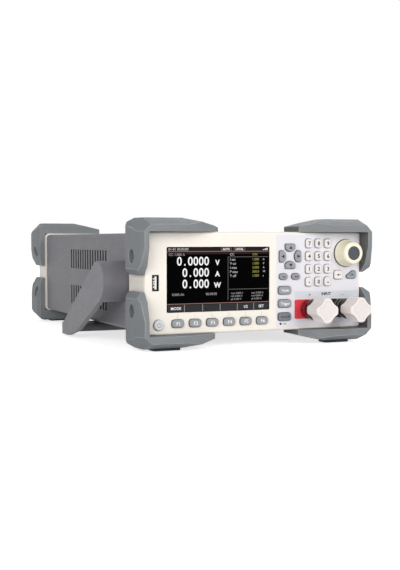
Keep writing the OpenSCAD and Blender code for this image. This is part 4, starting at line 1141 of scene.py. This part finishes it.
class BuildStage(LoadOperator, bpy.types.Operator):
    """Set the floor, the light and the camera"""

    bl_idname = "bench_load.stage"
    bl_label = "Stage"

    floor_half, floor_lift = 6.0, 0.68
    # Place and size of the lamps
    lamps = {
        "key": ((0.6, -2.0, 0.85), 1.2), "fill": ((-1.35, -1.4, 0.65), 1.2),
        "back": ((1.6, 1.8, 1.2), 1.4),
    }

    def execute(self, context):
        settings = context.scene.bench_load
        context.scene.view_settings.view_transform = "Standard"
        self.lay_floor(context.scene, settings.finish.floor)
        self.light_sky(context.scene, settings.stage.sky)
        for name in self.lamps:
            self.hang_lamp(context.scene, name, getattr(settings.stage, name + "_light"))
        self.set_camera(context.scene, settings.stage)
        return {"FINISHED"}

    def lay_floor(self, scene, tint):
        """A wide paper floor, white where it is seen and not in shadow."""
        bm = bmesh.new()
        bmesh.ops.create_grid(bm, x_segments=1, y_segments=1, size=self.floor_half)
        mesh = bpy.data.meshes.new("floor")
        bm.to_mesh(mesh)
        bm.free()
        material, shader = new_finish("floor_paper", tint, roughness=0.9, specular=0.1)
        tree = material.node_tree
        tree.links.new(tones(tree, noise(tree, 3), tint, drift=0.01), shader.inputs["Base Color"])
        shader.inputs["Emission Color"].default_value = (1, 1, 1, 1)
        lift = combine(tree, "MULTIPLY", self.seen(tree), self.floor_lift)
        tree.links.new(lift, shader.inputs["Emission Strength"])
        mesh.materials.append(material)
        floor = bpy.data.objects.new("floor", mesh)
        scene.collection.objects.link(floor)

    @staticmethod
    def seen(tree):
        """1 where the camera, a reflection or a glass looks at the background."""
        rays = add_node(tree, "LightPath").outputs
        direct = combine(tree, "MAXIMUM", rays["Is Camera Ray"], rays["Is Glossy Ray"])
        return combine(tree, "MAXIMUM", direct, rays["Is Transmission Ray"])

    def light_sky(self, scene, strength):
        """An even light all round, white where it is seen."""
        world = bpy.data.worlds.new("studio")
        scene.world = world
        world.use_nodes = True
        tree = world.node_tree
        background = tree.nodes["Background"]
        background.inputs["Color"].default_value = (1, 1, 1, 1)
        limits = {"To Min": strength, "To Max": 1.0}
        level = add_node(tree, "MapRange", limits, {"Value": self.seen(tree)})
        tree.links.new(level.outputs["Result"], background.inputs["Strength"])

    def hang_lamp(self, scene, name, watts):
        """A square lamp that shines at the middle of the object."""
        at, size = self.lamps[name]
        lamp = bpy.data.lights.new(name + "_lamp", "AREA")
        lamp.size, lamp.energy = size, watts
        self.place(scene, lamp, at, (CAD_BOX[0] + CAD_BOX[1]) / 2 - Vector(at))

    def set_camera(self, scene, stage):
        """The camera at the photograph's viewing angle."""
        camera = bpy.data.cameras.new("photo_camera")
        camera.lens = stage.lens
        scene.camera = self.place(scene, camera, stage.eye, stage.aim)

    @staticmethod
    def place(scene, data, at, aim):
        """Put a lamp or a camera at a point and turn it along a direction."""
        holder = bpy.data.objects.new(data.name, data)
        holder.location = at
        holder.rotation_euler = Vector(aim).to_track_quat("-Z", "Y").to_euler()
        scene.collection.objects.link(holder)
        return holder


OPERATORS = (
    BuildStage, DressHousing, DressFilm, DressDisplay, DressKeys, DressPowerButton, DressDial,
    DressTerminals, DressSockets, DressBumpers, DressHandle, DressRear,
)


class LoadPanel(bpy.types.Panel):
    """Buttons for every step of the bench load's looks"""

    bl_idname = "VIEW3D_PT_bench_load"
    bl_label = "Bench Load"
    bl_space_type = "VIEW_3D"
    bl_region_type = "UI"
    bl_category = "Bench Load"

    def draw(self, context):
        for operator in OPERATORS:
            self.layout.operator(operator.bl_idname)


CLASSES = (
    FinishSettings, EdgeSettings, PrintSettings, StageSettings, LoadSettings, *OPERATORS, LoadPanel
)


def register():
    for cls in CLASSES:
        bpy.utils.register_class(cls)
    bpy.types.Scene.bench_load = bpy.props.PointerProperty(type=LoadSettings)


def unregister():
    del bpy.types.Scene.bench_load
    for cls in reversed(CLASSES):
        bpy.utils.unregister_class(cls)


def main():
    register()
    for operator in OPERATORS:
        step = operator.bl_idname.split(".")[1]
        getattr(bpy.ops.bench_load, step)()


if __name__ == "__main__":
    main()
